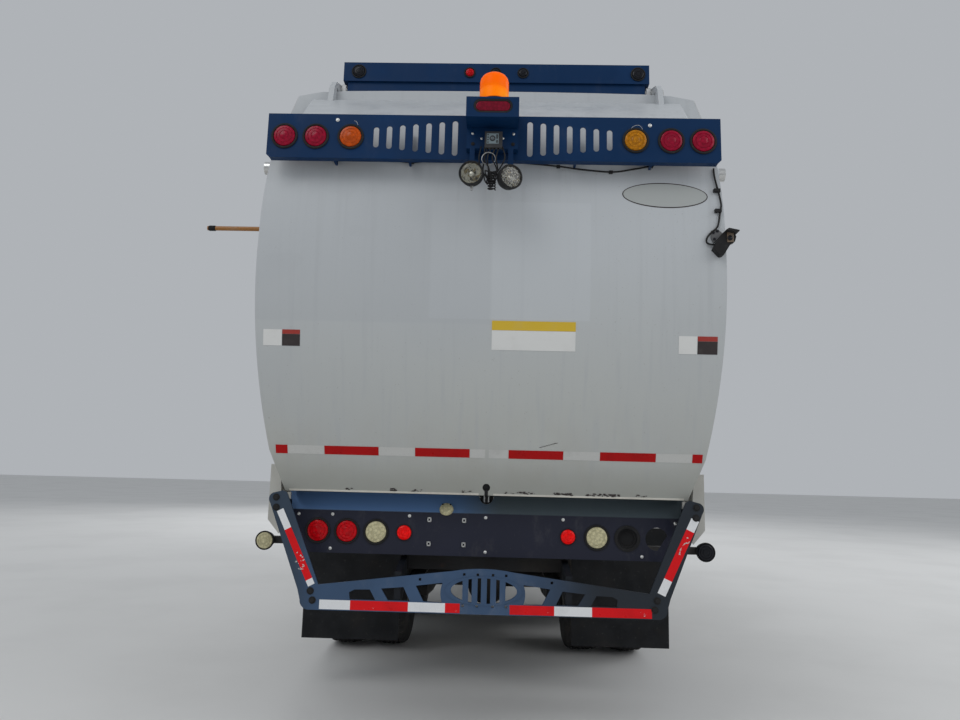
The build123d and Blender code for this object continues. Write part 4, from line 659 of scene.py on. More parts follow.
# On each arm: the ends of the tape's two long sides, and its lengths as parts of them
ARM_TAPE = (
    (((-1.027, 1.134), (-0.85, 0.779), (-0.996, 1.15), (-0.819, 0.795)), ("white", (0.0, 0.253, 0.924, 1.0))),
    (((1.046, 1.136), (0.877, 0.78), (1.009, 1.153), (0.84, 0.797)), ("white", (0.0, 0.15, 0.805, 1.0))))
for colour, finish in (("red", M_WORN_RED), ("white", M_WORN_WHITE)):
    form = Form()
    z0, z1 = CROSSBAR_Z
    for x0, x1 in lengths(CROSSBAR_TAPE, colour):
        flat_strip(form, GUARD_Y, ((x0, z0), (x1, z0), (x1, z1), (x0, z1)))
    for quad, strip in ARM_TAPE:
        for t0, t1 in lengths((strip,), colour):
            flat_strip(form, GUARD_Y, quad_between(*quad, t0, t1))
    form.make(f"guard_tape_{colour}", finish, f"tape_{colour}", "chassis", smooth=0)


# Tape on the load body's wall, which is an arc from sill to eave
SIDE_ARC = ((-1.125, 1.36), (-1.192, 2.25), (-1.19, 3.1))
SIDE_TAPE_Z = (1.4, 1.4508)
SIDE_TAPE_Y0 = -3.98
SIDE_TAPE_RED = 0.2794
SIDE_TAPE_WHITE = 0.1778
SIDE_TAPE_COUNT = 11


def side_patch(form, side, y0, y1, z0, z1, thick=0.0009):
    """A thin patch on the load body's wall, on side -1 for left or 1 for right."""
    def place(y, z, d):
        out = thick if d == 0.0 else -0.0006
        return (side * (out - arc_point(SIDE_ARC, z)), y, z)
    form.prism([(y0, z0), (y1, z0), (y1, z1), (y0, z1)], place)


def make_side_tape():
    strips = (("red", SIDE_TAPE_RED, M_TAPE_RED, Form()), ("white", SIDE_TAPE_WHITE, M_TAPE_WHITE, Form()))
    for _, side in SIDES:
        y = SIDE_TAPE_Y0
        for _ in range(SIDE_TAPE_COUNT):
            for _, long, _, form in strips:
                side_patch(form, side, y, y + long - 0.001, *SIDE_TAPE_Z)
                y += long
    for colour, _, finish, form in strips:
        form.make(f"side_tape_{colour}", finish, f"tape_{colour}", "chassis", smooth=0)


make_side_tape()


# Round lamps: grommet, bezel ring and a lens with moulded steps
LAMP_STEPS = 56


def lamp_parts(x, y, z, r, rim_r, depth, rims, lenses):
    rim = ((-depth, rim_r - 0.009), (-0.001, rim_r - 0.009), (-0.0005, rim_r), (0.005, rim_r),
           (0.008, rim_r - 0.003), (0.0075, r + 0.002), (0.004, r), (-depth, r - 0.004))
    lens = ((0.002 - depth, r - 0.005), (0.003, r - 0.0005), (0.0085, r - 0.003),
            (0.0115, r - 0.01), (0.0118, r * 0.72), (0.0102, r * 0.7), (0.0125, r * 0.66), (0.0135, r * 0.42),
            (0.012, r * 0.4), (0.0142, r * 0.34), (0.0148, 0.0))
    rims.lathe((x, y, z), BACK, rim, LAMP_STEPS, True)
    lenses.lathe((x, y, z), BACK, lens, LAMP_STEPS)


LAMP_R = 0.054
RIM_OUT_R = 0.065
PANEL_LAMPS = ((-0.855, "red"), (-0.706, "red"), (-0.556, "clear"), (0.57, "clear"))
GATE_LAMPS = ((-1.021, "crimson"), (-0.867, "crimson"), (-0.695, "amber"),
              (0.695, "yellow"), (0.867, "crimson"), (1.021, "crimson"))
ROOF_LAMPS = ((-0.832, 0.044, "smoke"), (-0.157, 0.034, "red"), (0.0, 0.034, "smoke"),
              (0.165, 0.034, "smoke"), (0.857, 0.044, "smoke"))
SMALL_LAMP_XS = (-0.411, 0.424)
SIDE_LAMPS = ((-1.26, "clear"), (1.24, "smoke"))
SIDE_LAMP_AT = (-3.9, 0.935)
# A lamp that is missing its lens: a grommet with a recessed dark well
LOST_LENS_X = 0.724
LOST_LENS_WELL = ((-0.028, 0.056), (-0.001, 0.056), (-0.0005, 0.065), (0.006, 0.065), (0.008, 0.06),
                  (0.007, 0.05), (-0.012, 0.047), (-0.014, 0.04), (-0.022, 0.038))
LENSES = {"red": (M_RED, "lens_red"), "lit": (M_RED_LIT, "lens_red"), "crimson": (M_CRIMSON, "lens_red"),
          "amber": (M_AMBER, "lens_amber"), "yellow": (M_YELLOW, "lens_amber"),
          "clear": (M_CLEAR, "lens_clear"), "smoke": (M_SMOKE, "dark_plastic")}
GATE_LAMP_NODE = ("tailgate", ("tailgate_lamps",))


def make_body_lamps():
    """The lamps of the lamp panel, the roof bar and the sides."""
    rims = Form()
    lenses = {kind: Form() for kind in ("red", "lit", "clear", "smoke")}
    for x, kind in PANEL_LAMPS:
        lamp_parts(x, PANEL_Y, PANEL_LAMP_Z, LAMP_R, RIM_OUT_R, 0.028, rims, lenses[kind])
    for x in SMALL_LAMP_XS:
        lamp_parts(x, PANEL_Y, PANEL_LAMP_Z, 0.0375, 0.041, 0.024, rims, lenses["lit"])
    rims.lathe((LOST_LENS_X, PANEL_Y, PANEL_LAMP_Z), BACK, LOST_LENS_WELL, LAMP_STEPS)
    for x, r, kind in ROOF_LAMPS:
        lamp_parts(x, ROOF_BAR_Y, ROOF_LAMP_Z, r - 0.008, r, 0.026, rims, lenses[kind])
    for x, kind in SIDE_LAMPS:
        lamp_parts(x, *SIDE_LAMP_AT, 0.047, 0.0535, 0.048, rims, lenses[kind])
    finish_lamps("body", rims, lenses, "chassis", "body_lamps")


def finish_lamps(where, rims, lenses, body, node):
    """One piece of all the rims, and one of each kind of lens."""
    rims.make(f"{where}_lamp_rims", M_GROMMET, "flap_rubber", body, (node,))
    for kind, form in lenses.items():
        form.make(f"{where}_lenses_{kind}", *LENSES[kind], body, (node,))


def make_gate_lamps():
    """The six lamps of the tailgate's bar."""
    rims = Form()
    lenses = {kind: Form() for kind in ("crimson", "amber", "yellow")}
    for x, kind in GATE_LAMPS:
        lamp_parts(x, BAR_Y, BAR_LAMP_Z, LAMP_R, RIM_OUT_R, 0.028, rims, lenses[kind])
    finish_lamps("gate", rims, lenses, "tailgate", "tailgate_lamps")


make_body_lamps()
make_gate_lamps()


# Tyres with tread
def tyre_form(form, xc, y, ribbed):
    """A tyre whose tread has grooves round it and notches across it."""
    half = TYRE_HALF_W
    side = [(half - 0.025, RIM_R), (half - 0.016, RIM_R + 0.014), (half - 0.006, RIM_R + 0.055),
            (half, RIM_R + 0.095), (half - 0.001, TYRE_R - 0.105), (half - 0.003, TYRE_R - 0.08),
            (half - 0.0065, TYRE_R - 0.055), (half - 0.018, TYRE_R - 0.026), (half - 0.038, TYRE_R - 0.01)]
    count = 21
    ticks = [1 - 2 * k / count for k in range(1, count)]
    crown = [(t * (half - 0.04), TYRE_R - 0.01 * abs(t) ** 2) for t in ticks]
    profile = side + crown + [(-x, r) for x, r in reversed(side)]
    n = len(profile)
    shoulders = (len(side) - 1, n - len(side), len(side) - 2, n - len(side) + 1)
    grooves = (4, 8, 13, 17) if ribbed else (3, 7, 10, 14, 18)
    steps = 144
    verts = []
    for k in range(steps):
        a = 2 * math.pi * k / steps
        for i, (px, r) in enumerate(profile):
            j = i - len(side) + 1
            depth = 0.0
            if j in grooves:
                depth = 0.014
            elif 0 < j < count and not ribbed and (k + j // 4 * 2) % 4 == 0:
                depth = 0.012
            elif 0 < j < count and ribbed and k % 4 == 0 and j in (3, 5, 16, 18, 9, 12):
                depth = 0.005
            elif i in shoulders and k % 4 == 0:
                depth = 0.007
            rr = r - depth
            verts.append((xc + px, y + rr * math.cos(a), TYRE_R + rr * math.sin(a)))
    form.add(verts, join_rings(ring_numbers(steps, n), True))
    for r, edge, rise in ((RIM_R + 0.03, half - 0.013, 0.003), (TYRE_R - 0.12, half - 0.0015, 0.0025)):
        rib = ((edge - 0.003, r - 0.005), (edge + rise - 0.002, r - 0.002), (edge + rise - 0.002, r + 0.002),
               (edge - 0.003, r + 0.005))
        for s in (-1, 1):
            form.lathe((xc, y, TYRE_R), (s, 0, 0), rib, 72, True)


# Wheels: row, axle, the tyres' places, their CAD node and the disc's face
WHEELS = (("front", FRONT_AXLE_Y, (STEER_X,), "tyre", 1.129), ("mid", MID_AXLE_Y, DUAL_XS, "tyres", 0.921),
          ("rear", REAR_AXLE_Y, DUAL_XS, "tyres", 0.921))


def make_tyres():
    """Each wheel's tyre or pair of tyres."""
    for name, s in SIDES:
        for row, y, xs, node, _ in WHEELS:
            form = Form()
            for x in xs:
                tyre_form(form, s * x, y, row == "front")
            wheel = f"{row}_{name}"
            form.make(f"tread_{wheel}", M_TYRE, "tyre", f"wheel_{wheel}", (f"{node}_{wheel}",), 28.0)


make_tyres()


NUT_COUNT = 10
NUT_RING_R = 0.1425
NUT = ((0.0, 0.024), (0.005, 0.023), (0.006, 0.0165), (0.026, 0.0165), (0.028, 0.014), (0.028, 0.01),
       (0.042, 0.01), (0.043, 0.0))


def make_wheel_nuts():
    """Wheel nuts in a ring on each disc."""
    for name, s in SIDES:
        for row, y, _, _, face in WHEELS:
            form = Form()
            for k in range(NUT_COUNT):
                a = math.radians(360 / NUT_COUNT * k + 18)
                at = (s * (face - 0.001), y + NUT_RING_R * math.cos(a), TYRE_R + NUT_RING_R * math.sin(a))
                form.lathe(at, (s, 0, 0), NUT, 6)
            form.make(f"wheel_nuts_{row}_{name}", M_BOLT, "bright_steel", f"wheel_{row}_{name}", smooth=20.0)


make_wheel_nuts()


# Small fasteners
def screw(form, at, axis, r, height, sides=20):
    """A domed screw head on a washer."""
    profile = ((-0.002, r * 1.25), (0.0012, r * 1.25), (0.0015, r), (height * 0.6, r * 0.92),
               (height, r * 0.45))
    form.lathe(at, axis, profile, sides)


def hex_bolt(form, at, axis, r):
    """A hexagon head on a round washer."""
    form.lathe(at, axis, ((-0.003, r * 1.5), (0.0028, r * 1.5), (0.003, 0.0)), 24)
    form.lathe(at, axis, ((0.0, r), (r * 0.6, r), (r * 0.72, r * 0.82)), 6)


PANEL_SCREWS = ((-0.958, 1.116), (-0.783, 1.118), (-0.387, 1.119), (0.004, 1.12), (0.399, 1.12),
                (0.967, 1.116), (-0.787, 0.947), (0.005, 0.948), (0.798, 0.947))
PLATE_CENTRE = (-0.195, 1.043)
PLATE_HALF = (0.0889, 0.0603)
GUARD_BOLTS = ((1.034, 1.203), (1.031, 1.154), (0.838, 0.76), (0.826, 0.717))
BAR_SCREWS = ((-0.763, 3.045), (0.765, 3.037))


def make_fasteners():
    """The screws of the lamp panel and the bar, the licence plate's clips and the guard's bolts."""
    bright, plates, dark, spots = Form(), Form(), Form(), Form()
    for x, z in PANEL_SCREWS:
        screw(bright, (x, PANEL_Y, z), BACK, 0.0065, 0.005)
    bright.make("panel_screws", M_SCREW, "bright_steel", "chassis")
    y0, y1 = PANEL_Y - 0.006, PANEL_Y - 0.0005
    for sx in (-1, 1):
        for sz in (-1, 1):
            x = PLATE_CENTRE[0] + sx * PLATE_HALF[0]
            z = PLATE_CENTRE[1] + sz * PLATE_HALF[1]
            for bar_z in (z - 0.0085, z + 0.0085):
                plates.block(x - 0.009, x + 0.009, y0, y1, bar_z - 0.0028, bar_z + 0.0028)
            for bar_x in (x - 0.0075, x + 0.0075):
                plates.block(bar_x - 0.0022, bar_x + 0.0022, y0, y1, z - 0.011, z + 0.011)
    plates.make("plate_clips", M_SCREW, "bright_steel", "chassis", smooth=0)
    for s in (-1, 1):
        for x, z in GUARD_BOLTS:
            hex_bolt(dark, (s * x, GUARD_Y, z), BACK, 0.0115)
    dark.make("guard_bolts", M_GROMMET, "chassis_black", "chassis", smooth=25.0)
    for x, z in BAR_SCREWS:
        screw(spots, (x, BAR_Y, z), BACK, 0.0075, 0.005)
    spots.make("bar_screws", M_SCREW, "bright_steel", "tailgate")


make_fasteners()


def stadium(half_w, half_h, steps=10):
    """A flat outline with round ends, as (u, v) points."""
    points = []
    for side in (1, -1):
        for k in range(steps + 1):
            a = -math.pi / 2 + math.pi * k / steps
            points.append((side * (half_w - half_h + half_h * math.cos(a)), side * half_h * math.sin(a)))
    return points


def domed_stadium(centre, half_w, half_h, levels):
    """Stacked round-ended outlines: each level is (outward distance, shrink in metres)."""
    verts = []
    for out, shrink in levels:
        outline = stadium(half_w - shrink, half_h - shrink)
        verts += [(centre[0] + u, centre[1] - out, centre[2] + v) for u, v in outline]
    rings = ring_numbers(len(levels), len(verts) // len(levels))
    return Form().add(verts, [rings[0], rings[-1][::-1]] + join_rings(rings))


BOX_LAMP_AT = (0.002, -4.945, 3.043)


def make_box_lamp():
    """The long red lamp set into the camera box, with round ends and a rubber ring."""
    ring = ((-0.017, 0.0), (0.0, 0.0), (0.0084, 0.0005), (0.0088, 0.004), (0.007, 0.0095), (-0.01, 0.0095))
    lens = ((-0.012, 0.0), (0.004, 0.0), (0.007, 0.002), (0.008, 0.007), (0.0083, 0.013))
    domed_stadium(BOX_LAMP_AT, 0.0917, 0.0347, ring).make(
        "box_lamp_ring", M_GROMMET, "flap_rubber", *GATE_LAMP_NODE)
    domed_stadium(BOX_LAMP_AT, 0.0818, 0.0248, lens).make(
        "box_lamp_lens", M_DARK_RED, "lens_red", *GATE_LAMP_NODE)


make_box_lamp()


PLATE_LAMP_AT = Vector((-0.199, -4.319, 1.156))
PLATE_LAMP_TILT = Vector((0.0, -0.74, 0.67)).normalized()


def make_plate_lamp():
    """The clear lamp over the licence plate, on the sloped face."""
    dome = ((-0.004, 0.036), (0.002, 0.036), (0.004, 0.033), (0.012, 0.032), (0.017, 0.026), (0.019, 0.012))
    Form().lathe(PLATE_LAMP_AT, PLATE_LAMP_TILT, dome, 32).make(
        "plate_lamp", M_CLEAR, "lens_clear", "chassis")
    dots = Form()
    for dx in (-0.02, 0.02):
        at = PLATE_LAMP_AT + Vector((dx, 0.0, 0.0)) + 0.0165 * PLATE_LAMP_TILT + Vector((0.0, 0.012, 0.013))
        dots.lathe(at, PLATE_LAMP_TILT, ((-0.004, 0.005), (0.0015, 0.005)), 12)
    dots.make("plate_lamp_screws", M_GROMMET, "dark_plastic", "chassis")


make_plate_lamp()


CAMERA_PLATE_Y = -4.836
CAMERA_SCREWS = ((-0.095, 2.961), (0.102, 2.96), (-0.051, 2.936), (0.051, 2.938))


def make_rear_camera():
    """The camera under the box: a dark frame, a grey pane with its lens and lights, and the screws."""
    body, bolts, dark = Form(), Form(), Form()
    body.block(-0.035, 0.049, -4.886, -4.866, 2.867, 2.949)
    for k in range(4):
        body.block(-0.0225, -0.0165, -4.8892, -4.887, 2.89 + 0.0125 * k, 2.8965 + 0.0125 * k)
    for z0, z1 in ((2.89, 2.905), (2.911, 2.933)):
        body.block(0.02, 0.027, -4.8892, -4.887, z0, z1)
    collar = ((0.0, 0.014), (0.004, 0.013), (0.004, 0.01), (0.0025, 0.009))
    body.lathe((0.002, -4.887, 2.913), BACK, collar, 28)
    body.make("rear_camera", M_PLASTIC, "dark_plastic", "tailgate", bevel=0.0015)
    Form().block(-0.026, 0.031, -4.8875, -4.8855, 2.886, 2.938).make(
        "rear_camera_pane", M_PANE, "lens_clear", "tailgate", bevel=0.001)
    lens = ((0.0, 0.0088), (0.0012, 0.007), (0.002, 0.0035), (0.0022, 0.0))
    Form().lathe((0.002, -4.8895, 2.913), BACK, lens, 24).make(
        "rear_camera_lens", M_LENS_GLASS, "lens_clear", "tailgate")
    for x, z in CAMERA_SCREWS:
        screw(bolts, (x, CAMERA_PLATE_Y, z), BACK, 0.0052, 0.004)
    bolts.make("camera_plate_screws", M_SCREW, "bright_steel", "tailgate")
    for x in (-0.093, 0.1):
        hex_bolt(dark, (x, CAMERA_PLATE_Y, 2.908), BACK, 0.006)
    dark.make("camera_plate_bolts", M_GROMMET, "dark_plastic", "tailgate")


make_rear_camera()


# Work lamps: name, x, z, turn to the side, distance set back and reflector
WORK_LAMPS = (("left", -0.094, 2.723, -0.12, 0.012, M_BOWL),
              ("right", 0.092, 2.712, 0.42, 0.022, M_FINE_BOWL))
WORK_LAMP_Y = -4.935
WORK_LAMP_NODE = ("tailgate", ("work_lamps",))
CUP = ((-0.086, 0.016), (-0.078, 0.028), (-0.062, 0.043), (-0.038, 0.054), (-0.01, 0.0575), (0.003, 0.0582),
       (0.006, 0.057), (0.006, 0.05), (0.001, 0.049), (-0.008, 0.0475), (-0.038, 0.0465), (-0.058, 0.037),
       (-0.07, 0.019), (-0.074, 0.0))
BOWL = ((-0.002, 0.0485), (-0.012, 0.047), (-0.024, 0.0415), (-0.035, 0.033), (-0.044, 0.022), (-0.05, 0.008),
        (-0.052, 0.008), (-0.046, 0.024), (-0.037, 0.035), (-0.025, 0.043), (-0.012, 0.048), (-0.002, 0.0492))
BULB = ((-0.051, 0.007), (-0.03, 0.007), (-0.026, 0.013), (-0.014, 0.011), (-0.01, 0.0))
FRONT_GLASS = ((-0.001, 0.048), (0.0015, 0.048), (0.003, 0.04), (0.004, 0.02), (0.0045, 0.0))
STUD = ((0.0, 0.0075), (0.012, 0.0075), (0.012, 0.0045), (0.024, 0.0045))


def make_work_lamps():
    """Two round work lamps turned to the sides: rubber cups, bright bowls, bulbs and clear fronts."""
    cups, fronts = Form(), Form()
    for name, x, z, turn, back, finish in WORK_LAMPS:
        axis = Vector((math.sin(turn), -math.cos(turn), -0.1)).normalized()
        at = Vector((x, WORK_LAMP_Y + back, z))
        cups.lathe(at, axis, CUP)
        fronts.lathe(at, axis, FRONT_GLASS)
        Form().lathe(at, axis, BOWL, 14, True).lathe(at, axis, BULB, 10).make(
            f"work_lamp_bowl_{name}", finish, "bright_steel", *WORK_LAMP_NODE, 10.0)
    Form().lathe((-0.09, -4.9, 2.671), (0, 0, -1), STUD, 12).make(
        "work_lamp_stud", M_BOLT, "bright_steel", "tailgate")
    cups.make("work_lamp_cups", M_GROMMET, "flap_rubber", *WORK_LAMP_NODE)
    fronts.make("work_lamp_fronts", M_CLEAR_GLASS, "lens_clear", *WORK_LAMP_NODE)


make_work_lamps()


BEACON_AT = (0.005, -4.885, 3.088)


def make_beacon():
    """A smooth amber dome, with painted light brighter round its foot, on a dark base."""
    base = ((0.0, 0.066), (0.005, 0.067), (0.006, 0.0))
    foot = ((0.006, 0.0695), (0.058, 0.0695), (0.061, 0.0682))
    dome = ((0.061, 0.0682), (0.064, 0.0692), (0.106, 0.0688), (0.12, 0.0655), (0.132, 0.0575),
            (0.141, 0.045), (0.147, 0.028), (0.1495, 0.0))
    parts = (("base", base, 48, M_PLASTIC, "dark_plastic", 35.0),
             ("foot", foot, 64, M_BEACON, "lens_amber", 35.0),
             ("lens", dome, 64, M_BEACON, "lens_amber", 50.0))
    for name, profile, steps, finish, slot, smooth in parts:
        Form().lathe(BEACON_AT, (0, 0, 1), profile, steps).make(
            f"beacon_{name}", finish, slot, "tailgate", ("beacon",), smooth)


make_beacon()


def smooth_line(points, steps=8):
    """A smooth path through points."""
    pts = [Vector(p) for p in points]
    pts = [2 * pts[0] - pts[1]] + pts + [2 * pts[-1] - pts[-2]]
    out = []
    for i in range(1, len(pts) - 2):
        p0, p1, p2, p3 = pts[i - 1], pts[i], pts[i + 1], pts[i + 2]
        for k in range(steps):
            t = k / steps
            out.append(0.5 * ((2 * p1) + (p2 - p0) * t + (2 * p0 - 5 * p1 + 4 * p2 - p3) * t * t
                              + (3 * p1 - p0 - 3 * p2 + p3) * t ** 3))
    out.append(pts[-2])
    return out


# Leads on the tailgate: distance off its face, radius and (x, z) points
LEADS = (
    (0.01, 0.0042, ((0.165, 2.878), (0.321, 2.864), (0.446, 2.847), (0.594, 2.836), (0.693, 2.851),
                    (0.801, 2.874))),
    (0.008, 0.0035, ((-0.165, 2.89), (-0.33, 2.88), (-0.42, 2.874), (-0.56, 2.892))),
    (0.008, 0.0045, ((1.097, 2.864), (1.099, 2.819), (1.109, 2.762), (1.116, 2.727), (1.124, 2.676),
                     (1.122, 2.648), (1.116, 2.619), (1.107, 2.568), (1.097, 2.547))),
    (0.01, 0.0045, ((1.097, 2.547), (1.074, 2.528), (1.053, 2.503), (1.047, 2.48), (1.059, 2.468),
                    (1.091, 2.464))),
)
# Clips: x, z, reach to the left, right and outward, and half height
LEAD_CLIPS = [(x, z, 0.015, 0.016, 0.018, 0.008) for x, z in ((1.106, 2.744), (1.107, 2.638))]
LEAD_CLIPS += [(x, z, 0.009, 0.009, 0.013, 0.007)
               for x, z in ((0.33, 2.863), (0.59, 2.836), (0.79, 2.872), (-0.4, 2.876))]
LAMP_LEADS = 7
# The sleeve wound round the lamps' leads, and the ring of bright wire
SLEEVE_TURNS = 7
SLEEVE_STEPS = 16
RING_TURNS = 4
RING_STEPS = 24
RING_R = 0.032


def make_gate_wiring():
    """Fixed wiring: the leads under the bar and up the right edge with clips, and the lamps' leads."""
    form = Form()
    for off, radius, points in LEADS:
        form.tube(smooth_line([(x, gate_y(z) - off, z) for x, z in points]), radius)
    for x, z, left, right, out, half in LEAD_CLIPS:
        form.block(x - left, x + right, gate_y(z) - out, gate_y(z) - 0.0005, z - half, z + half)
    draw = random.Random(7)
    for k in range(LAMP_LEADS):
        x = -0.052 + 0.017 * k
        points = [(x, -4.862, 2.882), (x + draw.uniform(-0.02, 0.02), -4.9 - draw.uniform(0.0, 0.03), 2.8),
                  (x + draw.uniform(-0.03, 0.03), -4.895 - draw.uniform(0.0, 0.03), 2.745),
                  (draw.uniform(-0.025, 0.025), -4.892, 2.69 + draw.uniform(-0.02, 0.02)),
                  (draw.uniform(-0.03, 0.03), -4.872, 2.74), (0.03 * (1 if k % 2 else -1), -4.868, 2.76)]
        form.tube(smooth_line(points), 0.0032, 8)
    coil = []
    for k in range(SLEEVE_TURNS * SLEEVE_STEPS + 1):
        turns = k / SLEEVE_STEPS
        a = 2 * math.pi * turns
        coil.append((0.003 + 0.017 * math.cos(a), -4.893 + 0.015 * math.sin(a), 2.744 - 0.013 * turns))
    form.tube(coil, 0.003, 8).make("gate_wiring", M_GROMMET, "flap_rubber", "tailgate")
    ring = []
    for k in range(RING_TURNS * RING_STEPS + 1):
        turns = k / RING_STEPS
        a = 2 * math.pi * turns
        ring.append((-0.014 + RING_R * math.cos(a), -4.912 - 0.0012 * turns, 2.797 + RING_R * math.sin(a)))
    Form().tube(ring, 0.0016, 8).make("wire_ring", M_BOLT, "bright_steel", "tailgate")


make_gate_wiring()


EDGE_CAMERA = (
    (-4.745, -4.707, ((1.118, 2.516), (1.144, 2.531), (1.176, 2.515), (1.182, 2.498), (1.175, 2.473),
                      (1.156, 2.464), (1.12, 2.405), (1.104, 2.402), (1.071, 2.437), (1.08, 2.457),
                      (1.096, 2.488))),
    (-4.782, -4.7, ((1.122, 2.519), (1.137, 2.529), (1.187, 2.519), (1.186, 2.513), (1.168, 2.514),
                    (1.137, 2.516))),
)
EDGE_BRACKET = ((1.072, 2.537), (1.107, 2.543), (1.127, 2.524), (1.1, 2.49), (1.081, 2.475), (1.071, 2.495))
EDGE_CAMERA_FACE = ((1.136, 2.518), (1.168, 2.513), (1.167, 2.47), (1.137, 2.468))


def make_edge_camera():
    """The side camera at the tailgate's right edge: its bracket, dark body, hood, brown face and lens."""
    body, lens = Form(), Form()
    for y0, y1, outline in EDGE_CAMERA:
        body.upright(y0, y1, outline)
    body.make("edge_camera_body", M_GROMMET, "dark_plastic", "tailgate", ("edge_camera",), 0, 0.002)
    Form().upright(-4.712, -4.7045, EDGE_BRACKET).make(
        "edge_camera_bracket", M_GREY_PLASTIC, "dark_plastic", "tailgate", ("edge_camera",), 0, 0.001)
    Form().upright(-4.75, -4.744, EDGE_CAMERA_FACE).make(
        "edge_camera_face", M_BROWN, "dark_plastic", "tailgate", smooth=0, bevel=0.001)
    dome = ((-0.003, 0.0125), (0.004, 0.0125), (0.005, 0.01), (0.007, 0.006), (0.008, 0.0))
    lens.lathe((1.149, -4.75, 2.488), BACK, dome, 28)
    for x, z in ((1.082, 2.526), (1.101, 2.534), (1.086, 2.494)):
        hex_bolt(lens, (x, -4.712, z), BACK, 0.0045)
    lens.make("edge_camera_lens", M_SMOKE, "dark_plastic", "tailgate")


make_edge_camera()


ROD_END = (-1.5495, -4.35, 2.63)


def make_rod_tip():
    """The dark cap on the indicator rod."""
    profile = ((0.0, 0.0), (0.001, 0.006), (0.004, 0.0115), (0.01, 0.0148), (0.04, 0.0148), (0.044, 0.0125))
    Form().lathe(ROD_END, (1, 0, 0), profile, 32).make(
        "rod_tip", M_GROMMET, "flap_rubber", "tailgate")


make_rod_tip()


BADGE_AT = (0.854, 2.718)
BADGE_HALF = (0.209, 0.066)


def make_badge():
    """A blank oval badge where the maker's one was."""
    n = 64
    for name, grow, out, finish, slot in (("rim", 0.0, 0.001, M_DECAL_DARK, "dark_plastic"),
                                          ("field", 0.005, 0.0016, M_BADGE, "tape_white")):
        line = []
        for k in range(n):
            t = 2 * math.pi * k / n
            u, v = (BADGE_HALF[0] - grow) * math.cos(t), (BADGE_HALF[1] - grow) * math.sin(t)
            line.append((BADGE_AT[0] + u, BADGE_AT[1] + v - 0.02 * u))
        line.append(BADGE_AT)
        front = [(x, gate_y(z) - out, z) for x, z in line]
        back = [(x, gate_y(z) + 0.0004, z) for x, z in line]
        faces = []
        for k in range(n):
            m = (k + 1) % n
            faces += [(k, m, 2 * n), (n + m, n + k, 2 * n + 1), (k, k + n, m + n, m)]
        Form().add(front[:n] + back[:n] + [front[n], back[n]], faces).make(
            f"gate_badge_{name}", finish, slot, "tailgate", smooth=0)


make_badge()


# Scratches: both ends and the half width; chips along the lip: from, to and how many
SCRATCHES = ((0.262, 1.475, 0.345, 1.499, 0.0012), (0.325, 1.494, 0.352, 1.5, 0.0008))
SCRATCH_STEPS = 8
LIP_CHIPS = ((-0.471, -0.426, 14), (-0.371, -0.316, 10), (-0.116, -0.071, 8), (0.099, 0.248, 24),
             (0.338, 0.437, 36), (0.496, 0.679, 56), (-0.7, -0.64, 6), (0.74, 0.8, 8))
LIP_CHIP_Z = (1.2455, 1.2565)


def make_scratches():
    """The two dark scratches on the tailgate near the tape, and the chips along its lip."""
    form = Form()
    for x0, z0, x1, z1, w in SCRATCHES:
        for k in range(SCRATCH_STEPS):
            xa, xb = (x0 + (x1 - x0) * j / SCRATCH_STEPS for j in (k, k + 1))
            z = z0 + (z1 - z0) * (k + 0.5) / SCRATCH_STEPS
            gate_patch(form, xa, xb, z - w, z + w, 0.0006, 1)
    draw = random.Random(11)
    for x0, x1, count in LIP_CHIPS:
        for _ in range(count):
            x = draw.uniform(x0, x1)
            z = draw.uniform(*LIP_CHIP_Z)
            w = draw.uniform(0.0016, 0.0062)
            low = z - w * draw.uniform(0.25, 0.6)
            gate_patch(form, x - w, x + w, low, z + w * draw.uniform(0.25, 0.6), 0.0016, 1)
    form.make("gate_scratches", M_DECAL_DARK, "dark_plastic", "tailgate", smooth=0)


make_scratches()


LOCK_CUP_SHADE_AT = (0.005, -4.25, 1.222)
LOCK_PIN_AT = (0.005, -4.268, 1.196)


def make_lock_pin():
    """The tailgate's lock under the lip: a dark plug of painted shade in its cup, and in it a bright pin
    crossed by a dark bar of painted shade for its slot.
    """
    # Painted shade: a dark solid filling the cup, where the hole looks into the body.
    cup_shade = ((-0.004, 0.0362), (0.012, 0.0362))
    Form().lathe(LOCK_CUP_SHADE_AT, BACK, cup_shade, 40).make("lock_cup_shade", M_GROMMET, "dark_plastic", "chassis")
    pin = ((0.0, 0.0175), (0.03, 0.0175), (0.036, 0.012))
    Form().lathe(LOCK_PIN_AT, (0, 0, 1), pin, 24).make(
        "lock_pin", M_SCREW, "bright_steel", "chassis")
    # Painted shade: a dark bar before the pin where its slot is.
    Form().block(-0.0035, 0.0135, -4.292, -4.28, 1.19, 1.2335).make(
        "lock_pin_slot_shade", M_GROMMET, "dark_plastic", "chassis", smooth=0)


make_lock_pin()


TAPE_MARKS = (((-0.913, 0.938), (-0.877, 0.906), (-0.919, 0.893), (-0.875, 0.878), (-0.903, 0.862),
               (-0.88, 0.861)),
              ((0.988, 1.058), (0.996, 1.037), (0.974, 1.03), (0.955, 1.005), (0.948, 0.98)))
BAR_ARCS = (((-0.682, 3.043), (-0.67, 3.036), (-0.662, 3.021)),
            ((0.67, 3.008), (0.682, 3.029), (0.706, 3.038), (0.722, 3.03), (0.73, 3.013)))


